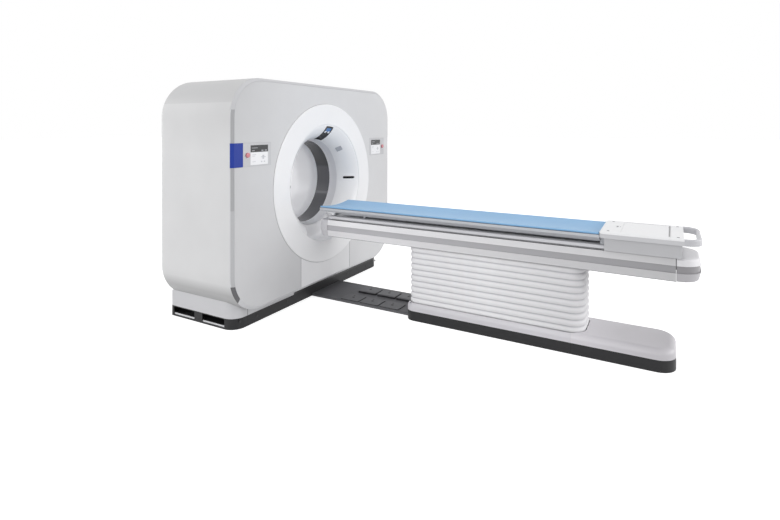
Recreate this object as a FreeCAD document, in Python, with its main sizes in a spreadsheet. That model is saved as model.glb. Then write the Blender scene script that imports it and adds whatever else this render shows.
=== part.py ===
"""CT scanner: a ring gantry on a floor plinth with a lifting, sliding patient table.

Frame: +Z up, X across the gantry, +Y along the bore away from the table.
The origin is on the floor, straight below the isocentre, so the scan plane is Y = 0.
All sizes are in millimetres. Every length below is an expression of the named sizes.
"""
import FreeCAD
import Part
import Sketcher
import math
import os
import types

SIZES = {
    # Gantry covers, seen from the front
    "front_face": 310,
    "rear_face": 490,
    "ring_radius": 700,
    "ring_low": 300,
    "ring_top_gap": 166,
    "ring_side_gap": 422,
    "shell_bottom": 128,
    "shell_corner": 300,
    "shell_wall": 8,
    "rear_round": 60,
    "rear_border": 75,
    "trim_depth": 22,
    "trim_width": 24,
    "trim_chamfer": 20,
    "cover_wall": 8,
    "seam": 0.5,
    "panel_width": 730,
    # Bore surround: depths are measured back from the front face
    "ring_proud": 8,
    "ring_edge": 6,
    "ring_wall": 8,
    "step_width": 14,
    "mouth_radius": 505,
    "mouth_depth": 240,
    "collar_depth": 165,
    "collar_wall": 6,
    "throat_gap": 3.5,
    "window_depth": 244,
    "window_length": 151,
    "window_radius": 370,
    "window_wall": 4,
    "running_gap": 0.3,
    "rear_flare_start": 296,
    "rear_flare_round": 200,
    "rear_mouth_radius": 520,
    "rear_ring_radius": 640,
    # Pocket in the bore surround for the table's nose
    "scoop_angle": 68,
    "scoop_margin": 2,
    "scoop_floor": 517,
    "scoop_corner": 30,
    # Plinth and skirt under the covers
    "base_inset": 100,
    "base_front_inset": 80,
    "base_rear_inset": 25,
    "base_corner": 100,
    "base_rear_corner": 12,
    "base_wall": 6,
    "base_side": 131,
    "plinth_height": 80,
    "base_opening_rim": 60,
    "pocket_low": 12,
    "pocket_high": 74,
    "pocket_length": 236,
    "front_pocket_start": 184,
    "rear_pocket_start": 508,
    # Control panels
    "console_gap": 25,
    "console_margin": 106,
    "console_rise": 205,
    "console_height": 175,
    "console_depth": 12,
    "screen_inner_margin": 33,
    "screen_outer_margin": 75,
    "screen_low_margin": 9,
    "screen_high_margin": 19,
    "screen_depth": 4,
    "stop_margin": 41,
    "stop_rise": 290,
    "stop_radius": 18,
    "stop_cap": 10,
    "stop_stem_radius": 9,
    "stop_stem": 24,
    "stop_travel": 5,
    "label_thickness": 1.5,
    # Things set into the bore surround
    "inlay": 2,
    "display_angle": 60,
    "display_left": 3,
    "display_right": 100,
    "display_start": 1,
    "display_end": 146,
    "display_corner": 6,
    "laser_angle": 20,
    "laser_rise": 2,
    "laser_height": 22,
    "laser_start": 20,
    "laser_end": 106,
    "camera_angle": 46.5,
    "camera_width": 51,
    "camera_start": 60,
    "camera_end": 108,
    "camera_corner": 5,
    # Fixed frame inside the gantry
    "stator_front": 200,
    "stator_thick": 60,
    "stator_hole": 450,
    "stator_overhang": 100,
    "stator_plate": 26,
    "stator_inset": 162,
    "stator_beam_width": 160,
    "stator_beam_top": 110,
    "bearing_depth": 60,
    "bearing_outer_radius": 540,
    # Rotating drum
    "hub_inner": 405,
    "hub_outer": 455,
    "hub_back_gap": 4,
    "drum_front": 60,
    "drum_plate": 25,
    "drum_plate_radius": 760,
    "rim_radius": 600,
    "rim_width": 45,
    "slip_outer": 445,
    "slip_length": 100,
    "slip_groove": 5,
    "tube_offset": 650,
    "tube_radius": 112,
    "tube_length": 235,
    "tank_inner": 520,
    "tank_outer": 735,
    "tank_height": 300,
    "tank_length": 200,
    "detector_inner": 520,
    "detector_outer": 600,
    "detector_angle": 56,
    "detector_length": 130,
    "collimator_inner": 440,
    "collimator_height": 90,
    "collimator_width": 180,
    "collimator_slot": 120,
    "weight_inner": 570,
    "weight_outer": 735,
    "weight_height": 260,
    "weight_length": 110,
    # Drum drive
    "pulley_inset": 130,
    "pulley_drop": 620,
    "pulley_radius": 70,
    "pulley_width": 39,
    "shaft_radius": 14,
    "motor_radius": 85,
    "motor_length": 160,
    "belt_thick": 6,
    "belt_width": 35,
    # Floor duct between gantry and table
    "duct_left": 116,
    "duct_right": 320,
    "duct_height": 20,
    "cap_length": 178,
    "cap_width": 140,
    "near_cap_height": 8,
    "far_cap_height": 20,
    "cap_pitch": 192,
    "cap_corner": 12,
    "cap_hole": 7,
    "near_cap_x": 38,
    "far_cap_x": 178,
    "near_cap_reach": 580,
    "far_cap_reach": 539,
    # Table base: distances run from the gantry's front face towards the foot end
    "table_start": 889,
    "table_end": 2726,
    "table_width": 388,
    "table_front_corner": 70,
    "table_rear_corner": 110,
    "table_plinth_height": 74,
    "table_cover_height": 139,
    "table_cover_wall": 6,
    "table_edge_round": 40,
    "table_split": 2120,
    # Bellows
    "bellows_inset": 19,
    "bellows_end": 2200,
    "bellows_width": 344,
    "bellows_front_corner": 60,
    "bellows_rear_corner": 95,
    "bellows_fold": 12,
    "bellows_bulge": 0.3,
    "bellows_wall": 2.5,
    "bellows_low": 124,
    "bellows_pleats": 10,
    "bellows_opening_gap": 4,
    # Scissor lift
    "pivot_inset": 115,
    "roller_inset": 93,
    "pivot_low": 112,
    "arm_rise": 420,
    "arm_height": 44,
    "arm_thick": 16,
    "arm_gap": 2,
    "outer_arm_x": 105,
    "inner_arm_x": 80,
    "arm_shaft_radius": 14,
    "arm_slack": 5,
    "track_inset": 34,
    "track_length": 140,
    "track_web_x": 136,
    "track_wall": 6,
    "track_slack": 4.5,
    "frame_plate": 12,
    "frame_half_width": 150,
    "gearbox_half_width": 55,
    "gearmotor_radius": 36,
    "gearmotor_length": 230,
    # Beam
    "beam_low": 565,
    "beam_top": 705,
    "rail_low": 718,
    "rail_top": 738,
    "rail_inner": 130,
    "rail_outer": 190,
    "beam_start": 50,
    "nose_length": 100,
    "beam_end": 2859,
    "end_cap_length": 131,
    "beam_width": 400,
    "beam_foot_width": 372,
    "beam_shoulder_width": 384,
    "band_low": 620,
    "band_high": 662,
    "band_depth": 7,
    "beam_wall": 5,
    "nose_corner": 60,
    "end_corner": 125,
    "end_round": 14,
    # Sliding cradle
    "cradle_start": 80,
    "cradle_width": 425,
    "cradle_low": 758,
    "cradle_edge": 808,
    "cradle_sag": 20,
    "cradle_foot_width": 330,
    "cradle_taper": 260,
    "shoe_width": 40,
    "roller_start": 190,
    "roller_pitch": 300,
    "mattress_thick": 18,
    "block_end": 2768,
    "block_length": 471,
    "block_width": 466,
    "block_low": 793,
    "block_top": 833,
    "block_corner": 30,
    "block_round": 10,
    "skirt_low": 711,
    "skirt_inset": 18,
    "skirt_front_inset": 30,
    "skirt_rear_inset": 11,
    "skirt_gap": 6,
    "lid_front_inset": 121,
    "lid_rear_inset": 71,
    "lid_side_inset": 43,
    "lid_depth": 6,
    "lid_corner": 14,
    "lid_gap": 2,
    "handle_reach": 93,
    "handle_bar": 23,
    "handle_corner": 90,
    "handle_side": 28,
}


class Size:
    """A number together with the sheet expression that gives it."""

    def __init__(self, text, number):
        self.text = text
        self.number = number

    def __add__(self, other):
        other = as_size(other)
        return Size(f"({self.text} + {other.text})", self.number + other.number)

    def __sub__(self, other):
        other = as_size(other)
        return Size(f"({self.text} - {other.text})", self.number - other.number)

    def __mul__(self, other):
        other = as_size(other)
        return Size(f"{self.text} * {other.text}", self.number * other.number)

    def __truediv__(self, other):
        other = as_size(other)
        return Size(f"({self.text} / ({other.text}))", self.number / other.number)

    def __radd__(self, other):
        return as_size(other) + self

    def __rsub__(self, other):
        return as_size(other) - self

    def __rmul__(self, other):
        return self * other

    def __neg__(self):
        return as_size(0) - self


def as_size(item):
    return item if isinstance(item, Size) else Size(f"({item})", float(item))


def root(item):
    """Square root of a size."""
    return Size(f"sqrt({item.text})", math.sqrt(item.number))


def value(item):
    """The present number of a size."""
    return as_size(item).number


DOC = FreeCAD.newDocument("ct_scanner")
SHEET = DOC.addObject("Spreadsheet::Sheet", "Sizes")
size = types.SimpleNamespace()
for row, (alias, number) in enumerate(SIZES.items(), start=1):
    SHEET.set(f"A{row}", alias)
    SHEET.set(f"B{row}", str(number))
    SHEET.setAlias(f"B{row}", alias)
    setattr(size, alias, Size(f"Sizes.{alias}", float(number)))
DOC.recompute()

# Places that several pieces share, worked out from the sizes
place = types.SimpleNamespace()
place.iso_height = size.ring_low + size.ring_radius
place.shell_top = place.iso_height + size.ring_radius + size.ring_top_gap
place.shell_half = size.ring_radius + size.ring_side_gap
place.shell_width = place.shell_half * 2
place.base_half = place.shell_half - size.base_inset
place.base_split = place.base_half - size.base_side
place.console_inner = size.ring_radius + size.console_gap
place.console_outer = place.shell_half - size.console_margin
place.console_low = place.iso_height + size.console_rise
place.console_high = place.console_low + size.console_height
place.screen_inner = place.console_inner + size.screen_inner_margin
place.screen_outer = place.console_outer - size.screen_outer_margin
place.screen_low = place.console_low + size.screen_low_margin
place.screen_high = place.console_high - size.screen_high_margin
place.stop_offset = place.console_outer - size.stop_margin
place.stop_height = place.iso_height + size.stop_rise
place.beam_outer = place.base_half - size.stator_inset
place.beam_inner = place.beam_outer - size.stator_beam_width
place.pulley_x = place.beam_outer - size.pulley_inset
place.bellows_start = size.table_start + size.bellows_inset
place.track_front = place.bellows_start + size.track_inset
place.pivot_rear = size.bellows_end - size.pivot_inset
place.arm_span = place.pivot_rear - place.track_front - size.roller_inset
place.beam_split = size.beam_end - size.end_cap_length
place.block_start = size.block_end - size.block_length

NODES = []
PLANES = {"X": "YZ_Plane", "Y": "XZ_Plane", "Z": "XY_Plane"}


def bind(item, path, length):
    """Ties a property to a size."""
    item.setExpression(path, as_size(length).text)


def span(side, inner, outer):
    """Low and high X of something between two distances from the middle, on one side."""
    return (-outer, -inner) if side < 0 else (inner, outer)


def behind_face(depth):
    """Y of a depth measured back from the gantry's front face."""
    return depth - size.front_face


def along_table(distance):
    """Y of a distance measured from the front face towards the foot end."""
    return -(size.front_face + distance)


# ------------------------------------------------------------------- sketches

def arc_between(start, end, radius, turn):
    """Minor arc from start to end; turn is 1 to the left and -1 to the right."""
    middle = (start + end) * 0.5
    chord = end - start
    reach = math.sqrt(max(radius ** 2 - (chord.Length / 2) ** 2, 0))
    left = FreeCAD.Vector(-chord.y, chord.x, 0).normalize()
    centre = middle + left * (turn * reach)
    first, last = (start, end) if turn > 0 else (end, start)
    angles = [math.atan2(point.y - centre.y, point.x - centre.x) for point in (first, last)]
    circle = Part.Circle(centre, FreeCAD.Vector(0, 0, 1), radius)
    return Part.ArcOfCircle(circle, angles[0], angles[1])


def hold(sketch, kind, geometry, point, length):
    """A dimension of the sketch that follows a size."""
    if kind == "Radius":
        index = sketch.addConstraint(Sketcher.Constraint(kind, geometry, value(length)))
    else:
        index = sketch.addConstraint(Sketcher.Constraint(kind, geometry, point, value(length)))
    bind(sketch, f"Constraints[{index}]", length)


def draw_path(sketch, path):
    """Closed outline. A point is (u, v), or (u, v, radius, turn) where an arc arrives at it."""
    spots = [FreeCAD.Vector(value(point[0]), value(point[1]), 0) for point in path]
    ends = []
    for index, point in enumerate(path):
        start, end = spots[index - 1], spots[index]
        if len(point) == 2:
            geometry = sketch.addGeometry(Part.LineSegment(start, end))
            ends.append((geometry, 1, 2))
        else:
            geometry = sketch.addGeometry(arc_between(start, end, value(point[2]), point[3]))
            ends.append((geometry, 1, 2) if point[3] > 0 else (geometry, 2, 1))
    for index, point in enumerate(path):
        geometry, _, last = ends[index]
        following, first, _ = ends[(index + 1) % len(path)]
        sketch.addConstraint(Sketcher.Constraint("Coincident", geometry, last, following, first))
        hold(sketch, "DistanceX", geometry, last, point[0])
        hold(sketch, "DistanceY", geometry, last, point[1])
        if len(point) > 2:
            hold(sketch, "Radius", geometry, None, point[2])


def draw_circle(sketch, across, up, radius):
    centre = FreeCAD.Vector(value(across), value(up), 0)
    circle = Part.Circle(centre, FreeCAD.Vector(0, 0, 1), value(radius))
    geometry = sketch.addGeometry(circle)
    hold(sketch, "DistanceX", geometry, 3, across)
    hold(sketch, "DistanceY", geometry, 3, up)
    hold(sketch, "Radius", geometry, None, radius)


def rounded(left, right, low, high, radius, high_radius=None):
    """Rectangle with round corners, as a path."""
    top = high_radius or radius
    return [
        (left + radius, low, radius, 1),
        (right - radius, low),
        (right, low + radius, radius, 1),
        (right, high - top),
        (right - top, high, top, 1),
        (left + top, high),
        (left, high - top, top, 1),
        (left, low + radius),
    ]


def rectangle(left, right, low, high):
    return [(left, low), (right, low), (right, high), (left, high)]


def add_sketch(body, axis, offset, outlines):
    """Sketch square to an axis. An outline is a path, or a circle as ("o", u, v, radius)."""
    sketch = body.newObject("Sketcher::SketchObject", "Sketch")
    plane = [item for item in body.Origin.OriginFeatures if item.Role == PLANES[axis]][0]
    sketch.AttachmentSupport = [(plane, "")]
    sketch.MapMode = "FlatFace"
    bind(sketch, ".AttachmentOffset.Base.z", offset)
    for outline in outlines:
        if outline[0] == "o":
            draw_circle(sketch, *outline[1:])
        else:
            draw_path(sketch, outline)
    return sketch


# ------------------------------------------------------------------- features

def new_body(name):
    body = DOC.addObject("PartDesign::Body", name)
    body.Label = name
    return body


def pad(body, axis, outlines, low, high):
    """Adds the outlines as a prism from low to high along the axis."""
    offset = -high if axis == "Y" else low
    feature = body.newObject("PartDesign::Pad", "Pad")
    feature.Profile = add_sketch(body, axis, offset, outlines)
    bind(feature, "Length", high - low)
    DOC.recompute()
    return feature


def pocket(body, axis, outlines, low, high):
    """Cuts the outlines as a prism from low to high along the axis."""
    before = body.Shape.Volume
    offset = -low if axis == "Y" else high
    feature = body.newObject("PartDesign::Pocket", "Pocket")
    feature.Profile = add_sketch(body, axis, offset, outlines)
    bind(feature, "Length", high - low)
    DOC.recompute()
    if body.Shape.Volume >= before:
        raise ValueError(f"a pocket of {body.Label} cuts nothing")
    return feature


def revolve(body, path, angle=None):
    """Turns a (y, radius) path about the bore axis, all round or spread about the top."""
    sketch = add_sketch(body, "X", 0, [path])
    bind(sketch, ".AttachmentOffset.Base.y", place.iso_height)
    feature = body.newObject("PartDesign::Revolution", "Revolution")
    feature.Profile = sketch
    feature.ReferenceAxis = (sketch, ["H_Axis"])
    if angle:
        bind(feature, "Angle", angle)
        feature.Midplane = True
    else:
        feature.Angle = 360
    DOC.recompute()
    return feature


def loft(body, kind, sections):
    """Straight walls through level outlines, added or cut. A section is (height, outline)."""
    sketches = [add_sketch(body, "Z", height, [outline]) for height, outline in sections]
    feature = body.newObject(kind, "Loft")
    feature.Profile = sketches[0]
    feature.Sections = sketches[1:]
    feature.Ruled = True
    DOC.recompute()
    return feature


def repeat(body, features, axis, pitch, count):
    """Copies features along one of the body's axes."""
    roles = {"X": "X_Axis", "Y": "Y_Axis", "Z": "Z_Axis"}
    line = [item for item in body.Origin.OriginFeatures if item.Role == roles[axis]][0]
    pattern = body.newObject("PartDesign::LinearPattern", "LinearPattern")
    pattern.Originals = features
    pattern.Direction = (line, [""])
    pattern.Mode = "Spacing"
    bind(pattern, "Offset", pitch)
    pattern.Occurrences = count
    body.Tip = pattern
    DOC.recompute()
    return pattern


def edges_where(shape, test):
    """Names of the edges whose every sampled point passes the test."""
    names = []
    for index, edge in enumerate(shape.Edges, start=1):
        if all(test(point) for point in edge.discretize(5)):
            names.append(f"Edge{index}")
    return names


def at_level(axis, coordinate):
    """Test for points that lie at one coordinate along an axis."""
    level = value(coordinate)
    return lambda point: abs(getattr(point, axis) - level) < 1e-4


def rim_edges(height, joint, sides):
    """Test for the edges at a height, without those on a joint face that they meet at the sides."""
    at_height = at_level("z", height)
    at_joint = at_level("y", joint)
    limits = [value(side) for side in sides]

    def test(point):
        at_side = any(abs(abs(point.x) - limit) < 1e-4 for limit in limits)
        return at_height(point) and (at_side or not at_joint(point))

    return test


def dress(body, kind, test, radius):
    """Fillet or Chamfer on the edges that pass the test."""
    names = edges_where(body.Shape, test)
    if not names:
        raise ValueError(f"no edge of {body.Label} to round")
    base = body.Tip
    feature = body.newObject(f"PartDesign::{kind}", kind)
    feature.Base = (base, names)
    bind(feature, "Radius" if kind == "Fillet" else "Size", radius)
    body.Tip = feature
    DOC.recompute()
    return feature


def keep(item, name=None):
    """Lists an object as one of the scanner's pieces."""
    if name:
        item.Label = name
    NODES.append(item)
    return item


def prism(name, axis, outlines, low, high):
    body = new_body(name)
    pad(body, axis, outlines, low, high)
    return body


def lathe(name, path, angle=None):
    body = new_body(name)
    revolve(body, path, angle)
    return body


def cut(name, base, *tools):
    """The base without the tools."""
    tool = tools[0] if len(tools) == 1 else fuse(name + "_tools", *tools)
    result = DOC.addObject("Part::Cut", name)
    result.Base = base
    result.Tool = tool
    DOC.recompute()
    return result


def fuse(name, *items):
    result = DOC.addObject("Part::MultiFuse", name)
    result.Shapes = list(items)
    result.Refine = True
    DOC.recompute()
    return result


def common(name, *items):
    result = DOC.addObject("Part::MultiCommon", name)
    result.Shapes = list(items)
    result.Refine = True
    DOC.recompute()
    return result


def turned(body, angle):
    """Turns a body about the bore axis, clockwise seen from the table."""
    height = value(place.iso_height)
    turn = FreeCAD.Rotation(FreeCAD.Vector(0, 1, 0), angle)
    centre = FreeCAD.Vector(0, 0, height)
    body.Placement = FreeCAD.Placement(FreeCAD.Vector(0, 0, 0), turn, centre)
    DOC.recompute()
    return body


# -------------------------------------------------------------- gantry covers

def shell_outline(inset):
    """The gantry's outline from the front, moved inward."""
    half = place.shell_half - inset
    low = size.shell_bottom + inset
    high = place.shell_top - inset
    return rounded(-half, half, low, high, size.shell_corner - inset)


def base_outline(inset):
    """The plinth's outline from above, moved inward."""
    half = place.base_half - inset
    front = behind_face(size.base_front_inset) + inset
    back = size.rear_face - size.base_rear_inset - inset
    return rounded(-half, half, front, back, size.base_corner - inset, size.base_rear_corner - inset)


def half_space(name, side):
    """A block that holds everything on one side of the middle seam."""
    low, high = span(side, size.seam / 2, place.shell_width)
    return prism(name, "Z", [rectangle(low, high, -place.shell_width, place.shell_width)],
                 -place.shell_width, place.shell_top * 2)


def make_shell():
    """Wrap-round cover in two halves that meet at the top of the arch."""
    front = behind_face(size.trim_depth)
    outer = prism("shell_block", "Y", [shell_outline(0)], front, size.rear_face)
    dress(outer, "Fillet", at_level("y", size.rear_face), size.rear_round)
    back = size.rear_face - size.shell_wall
    inner = prism("shell_hollow", "Y", [shell_outline(size.shell_wall)], front - size.shell_wall, back)
    dress(inner, "Fillet", at_level("y", back), size.rear_round - size.shell_wall)
    opening = prism("shell_rear_opening", "Y", [shell_outline(size.rear_border)],
                    back - size.shell_wall, size.rear_face + size.shell_wall)
    rim = size.base_opening_rim
    half = place.base_half - rim
    foot = prism("shell_foot_opening", "Z",
                 [rectangle(-half, half, behind_face(size.base_front_inset) + rim / 2,
                            size.rear_face - size.base_rear_inset - rim / 2)],
                 size.shell_bottom - size.shell_wall, size.shell_bottom + size.shell_corner / 2)
    whole = cut("shell_whole", outer, inner, opening, foot)
    for side, name in ((-1, "shell_left"), (1, "shell_right")):
        keep(common(name, whole, half_space(name + "_space", side)))


def make_front():
    """Grey edge frame, flat front cover and the removable panel below the ring."""
    front = behind_face(0)
    trim = prism("front_trim", "Y", [shell_outline(0)], front, behind_face(size.trim_depth))
    dress(trim, "Chamfer", at_level("y", front), size.trim_chamfer)
    pocket(trim, "Y", [shell_outline(size.trim_width)], front, behind_face(size.trim_depth))
    keep(trim)

    back = behind_face(size.cover_wall)
    cover = prism("front_cover", "Y", [shell_outline(size.trim_width + size.seam)], front, back)
    pocket(cover, "Y", [("o", 0, place.iso_height, size.ring_radius + size.seam)], front, back)
    half = size.panel_width / 2
    pocket(cover, "Y", [rectangle(-half, half, 0, place.iso_height - size.ring_radius / 2)], front, back)
    for side in (-1, 1):
        left, right = span(side, place.console_inner - size.seam, place.console_outer + size.seam)
        low = place.console_low - size.seam
        high = place.console_high + size.seam
        pocket(cover, "Y", [rectangle(left, right, low, high)], front, back)
    keep(cover)

    half = size.panel_width / 2 - size.seam
    panel = prism("lower_panel", "Y",
                  [rectangle(-half, half, size.shell_bottom + size.trim_width + size.seam,
                             place.iso_height - size.ring_radius / 2)], front, back)
    pocket(panel, "Y", [("o", 0, place.iso_height, size.ring_radius + size.seam)], front, back)
    keep(panel)


def make_rear_cover():
    body = prism("rear_cover", "Y", [shell_outline(size.rear_border + size.seam)],
                 size.rear_face - size.cover_wall, size.rear_face)
    pocket(body, "Y", [("o", 0, place.iso_height, size.rear_ring_radius + size.seam)],
           size.rear_face - size.cover_wall, size.rear_face)
    keep(body)


def lip_arc(offset):
    """Radius of the funnel's round face, moved into the wall by the offset."""
    rise = size.mouth_radius - size.window_radius
    return (size.mouth_depth * size.mouth_depth + rise * rise) / (rise * 2) - offset


def lip_point(offset, depth):
    """(y, radius) of the funnel's face at a depth, moved into the wall by the offset."""
    back = size.mouth_depth - depth
    reach = lip_arc(offset)
    return behind_face(depth), size.window_radius + lip_arc(0) - root(reach * reach - back * back)


def lip_skin(name, start, end, angle):
    """Thin skin in front of the funnel's face between two depths, spread about the top."""
    near = -size.inlay
    far = -size.running_gap
    return lathe(name, [
        lip_point(near, start),
        (*lip_point(near, end), lip_arc(near), 1),
        lip_point(far, end),
        (*lip_point(far, start), lip_arc(far), -1),
    ], angle)


def scoop_sector(name, inner, floor, back, margin):
    """Sector of a ring under the bore, with a rounded edge between its floor and its back."""
    corner = size.scoop_corner
    body = lathe(name, [
        (behind_face(-size.ring_radius / 2), inner),
        (behind_face(back), inner),
        (behind_face(back), floor - corner),
        (behind_face(back - corner), floor, corner, 1),
        (behind_face(-size.ring_radius / 2), floor),
    ], size.scoop_angle + margin)
    return turned(body, 180)


def collar_front():
    """(y, radius) of the collar's outside at its front edge."""
    along, radius = lip_point(size.collar_wall, size.collar_depth + size.seam)
    return along, radius + size.collar_wall / 2


def make_front_ring():
    """Flat surround that funnels into the bore, with a scooped pocket for the table's nose."""
    proud = size.ring_proud
    edge = size.ring_edge
    wall = size.ring_wall
    shell = lathe("ring_shell", [
        (behind_face(edge - proud), size.ring_radius),
        (behind_face(-proud), size.ring_radius - edge, edge, 1),
        (behind_face(-proud), size.mouth_radius + size.step_width),
        (behind_face(0), size.mouth_radius + size.step_width - proud),
        lip_point(0, 0),
        (*lip_point(0, size.collar_depth), lip_arc(0), 1),
        lip_point(wall, size.collar_depth),
        (*lip_point(wall, wall), lip_arc(wall), -1),
        (behind_face(wall), size.ring_radius),
    ])
    tray = scoop_sector("scoop_tray", size.window_radius, size.scoop_floor + wall,
                        size.collar_depth + wall, size.scoop_margin)
    in_front = lathe("scoop_front", [
        (behind_face(-size.ring_radius), 0),
        (behind_face(size.collar_depth), 0),
        lip_point(0, size.collar_depth),
        (*lip_point(0, 0), lip_arc(0), -1),
        (behind_face(0), size.ring_radius),
        (behind_face(-size.ring_radius), size.ring_radius),
    ])
    throat = collar_front()[1] + size.throat_gap
    behind = lathe("scoop_behind", [
        (behind_face(size.collar_depth), 0),
        (behind_face(size.mouth_depth), 0),
        (behind_face(size.mouth_depth), throat),
        (behind_face(size.collar_depth), throat),
    ])
    hollow = scoop_sector("scoop_hollow", 0.1, size.scoop_floor, size.collar_depth, 0)
    tray_wall = cut("scoop_tray_wall", tray, in_front, behind)
    keep(cut("front_ring", fuse("ring_with_tray", shell, tray_wall), hollow))


def make_bore_tube():
    """Grey collar, dark scan window and the rear funnel."""
    window_front = behind_face(size.window_depth)
    window_back = behind_face(size.window_depth + size.window_length)
    sleeve = size.window_radius + size.window_wall
    seat = sleeve + size.running_gap
    overlap = size.collar_wall
    keep(lathe("bore_collar", [
        lip_point(0, size.collar_depth + size.seam),
        (*lip_point(0, size.mouth_depth), lip_arc(0), 1),
        (window_front, size.window_radius),
        (window_front, seat),
        (window_front + overlap, seat),
        (window_front + overlap, seat + overlap),
        (behind_face(size.mouth_depth), seat + overlap),
        collar_front(),
    ]))
    keep(lathe("scan_window", [
        (window_front + size.seam, size.window_radius),
        (window_back - size.seam, size.window_radius),
        (window_back - size.seam, sleeve),
        (window_front + size.seam, sleeve),
    ]))
    flare = size.rear_flare_start
    wall = size.ring_wall
    proud = behind_face(size.rear_face + size.front_face + size.ring_proud)
    keep(lathe("rear_ring", [
        (window_back, size.window_radius),
        (flare, size.window_radius),
        (size.rear_face, size.rear_mouth_radius, size.rear_flare_round, 1),
        (proud, size.rear_mouth_radius + size.ring_edge),
        (proud, size.rear_ring_radius - size.ring_edge),
        (proud - size.ring_edge, size.rear_ring_radius, size.ring_edge, 1),
        (size.rear_face - size.cover_wall, size.rear_ring_radius),
        (size.rear_face - size.cover_wall, size.rear_mouth_radius + wall),
        (flare, size.window_radius + wall + overlap, size.rear_flare_round + wall, -1),
        (window_back - overlap, seat + overlap),
        (window_back - overlap, seat),
        (window_back, seat),
    ]))


def make_base():
    """Dark plinth plates on the floor, and the white skirt between them and the shell."""
    split = place.base_split
    width = place.shell_width
    clearance = prism("shell_clearance", "Y", [shell_outline(-size.running_gap)],
                      behind_face(-size.seam), size.rear_face)
    for band, low, high in (("plinth", 0, size.plinth_height),
                            ("skirt", size.plinth_height, size.shell_bottom + size.shell_corner)):
        whole = prism(band + "_ring", "Z", [base_outline(0), base_outline(size.base_wall)], low, high)
        if band == "plinth":
            pockets = [(size.front_pocket_start, size.front_pocket_start + size.pocket_length),
                       (size.rear_pocket_start, size.rear_pocket_start + size.pocket_length)]
            for start, end in pockets:
                pocket(whole, "X", [rectangle(behind_face(start), behind_face(end),
                                              size.pocket_low, size.pocket_high)],
                       -place.base_half, place.base_half)
        else:
            whole = cut("skirt_fitted", whole, clearance)
        for side, name in ((-1, band + "_left"), (1, band + "_right")):
            left, right = span(side, split, width)
            region = prism(name + "_space", "Z", [rectangle(left, right, -width, width)],
                           0, place.shell_top)
            keep(common(name, whole, region))
        end = split - size.seam
        rear_region = prism(band + "_rear_space", "Z", [rectangle(-end, end, 0, width)],
                            0, place.shell_top)
        keep(common(band + "_rear", whole, rear_region))
        edges = [(-end, end)]
        if band == "plinth":
            near = size.panel_width / 2 - size.seam / 2
            far = size.panel_width / 2 + size.seam / 2
            edges = [(-end, -far), (-near, near), (far, end)]
        regions = [prism(f"{band}_front_space", "Z", [rectangle(left, right, -width, 0)],
                         0, place.shell_top) for left, right in edges]
        space = regions[0] if len(regions) == 1 else fuse(band + "_front_spaces", *regions)
        keep(common(band + "_front", whole, space))


# -------------------------------------------------- controls and small windows

def make_consoles():
    """Panel, screen and stop button on each side of the front cover."""
    front = behind_face(0)
    screens = []
    for side, hand in ((-1, "left"), (1, "right")):
        low, high = span(side, place.console_inner, place.console_outer)
        panel = prism("console_" + hand, "Y", [rectangle(low, high, place.console_low, place.console_high)],
                      front, behind_face(size.console_depth))
        left, right = span(side, place.screen_inner, place.screen_outer)
        pocket(panel, "Y", [rectangle(left, right, place.screen_low, place.screen_high)],
               front, behind_face(size.screen_depth))
        centre = place.stop_offset * side
        pocket(panel, "Y", [("o", centre, place.stop_height, size.stop_stem_radius + size.seam)],
               front, behind_face(size.console_depth))
        keep(panel)
        gap = size.running_gap
        screens.append(prism("screen_" + hand, "Y",
                             [rectangle(left + gap, right - gap, place.screen_low + gap,
                                        place.screen_high - gap)],
                             front, behind_face(size.screen_depth)))
        tip = behind_face(-size.stop_travel - size.stop_cap)
        stop = prism("estop_" + hand, "Y", [("o", centre, place.stop_height, size.stop_radius)],
                     tip, behind_face(-size.stop_travel))
        dress(stop, "Fillet", at_level("y", tip), size.stop_cap / 2)
        pad(stop, "Y", [("o", centre, place.stop_height, size.stop_stem_radius)],
            behind_face(-size.stop_travel), behind_face(size.stop_stem - size.stop_travel))
        keep(stop)
    keep(fuse("screens", *screens))


def make_label():
    """Blank coloured plate that wraps from the front cover over the trim's bevel."""
    edge = -(place.shell_half)
    flat_end = edge + size.trim_chamfer
    thick = size.label_thickness
    front = behind_face(0)
    bevel_end = behind_face(size.trim_chamfer)
    keep(prism("label_plate", "Z", [[
        (-(place.console_outer + size.seam * 2), front),
        (-(place.console_outer + size.seam * 2), front - thick),
        (flat_end - thick * 0.414, front - thick),
        (edge - thick * 0.707, bevel_end - thick * 0.707),
        (edge, bevel_end),
        (flat_end, front),
    ]], place.console_low, place.console_high))


def make_inlays():
    """Display at the top of the bore, laser slots at its sides and the camera's window."""
    skin = lip_skin("display_skin", size.display_start, size.display_end, size.display_angle)
    strip = rounded(-size.display_left, size.display_right, behind_face(size.display_start),
                    behind_face(size.display_end), size.display_corner)
    keep(common("bore_display", skin,
                prism("display_strip", "Z", [strip], place.iso_height, place.shell_top)))

    level = place.iso_height + size.laser_rise
    half = size.laser_height / 2
    strip = rounded(behind_face(size.laser_start), behind_face(size.laser_end),
                    level - half, level + half, half * 0.98)
    slots = []
    for side in (-1, 1):
        skin = turned(lip_skin("laser_skin", size.laser_start, size.laser_end, size.laser_angle), 90 * side)
        low, high = span(side, size.window_radius, size.ring_radius)
        slots.append(common("laser_slot", skin, prism("laser_strip", "X", [strip], low, high)))
    keep(fuse("laser_windows", *slots))

    skin = lip_skin("camera_skin", size.camera_start, size.camera_end, size.display_angle)
    half = size.camera_width / 2
    strip = prism("camera_strip", "Z", [rounded(-half, half, behind_face(size.camera_start),
                                                behind_face(size.camera_end), size.camera_corner)],
                  place.iso_height, place.shell_top)
    angle = value(size.camera_angle)
    keep(common("camera_window", turned(skin, angle), turned(strip, angle)))


# ----------------------------------------------------------- inside the gantry

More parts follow.
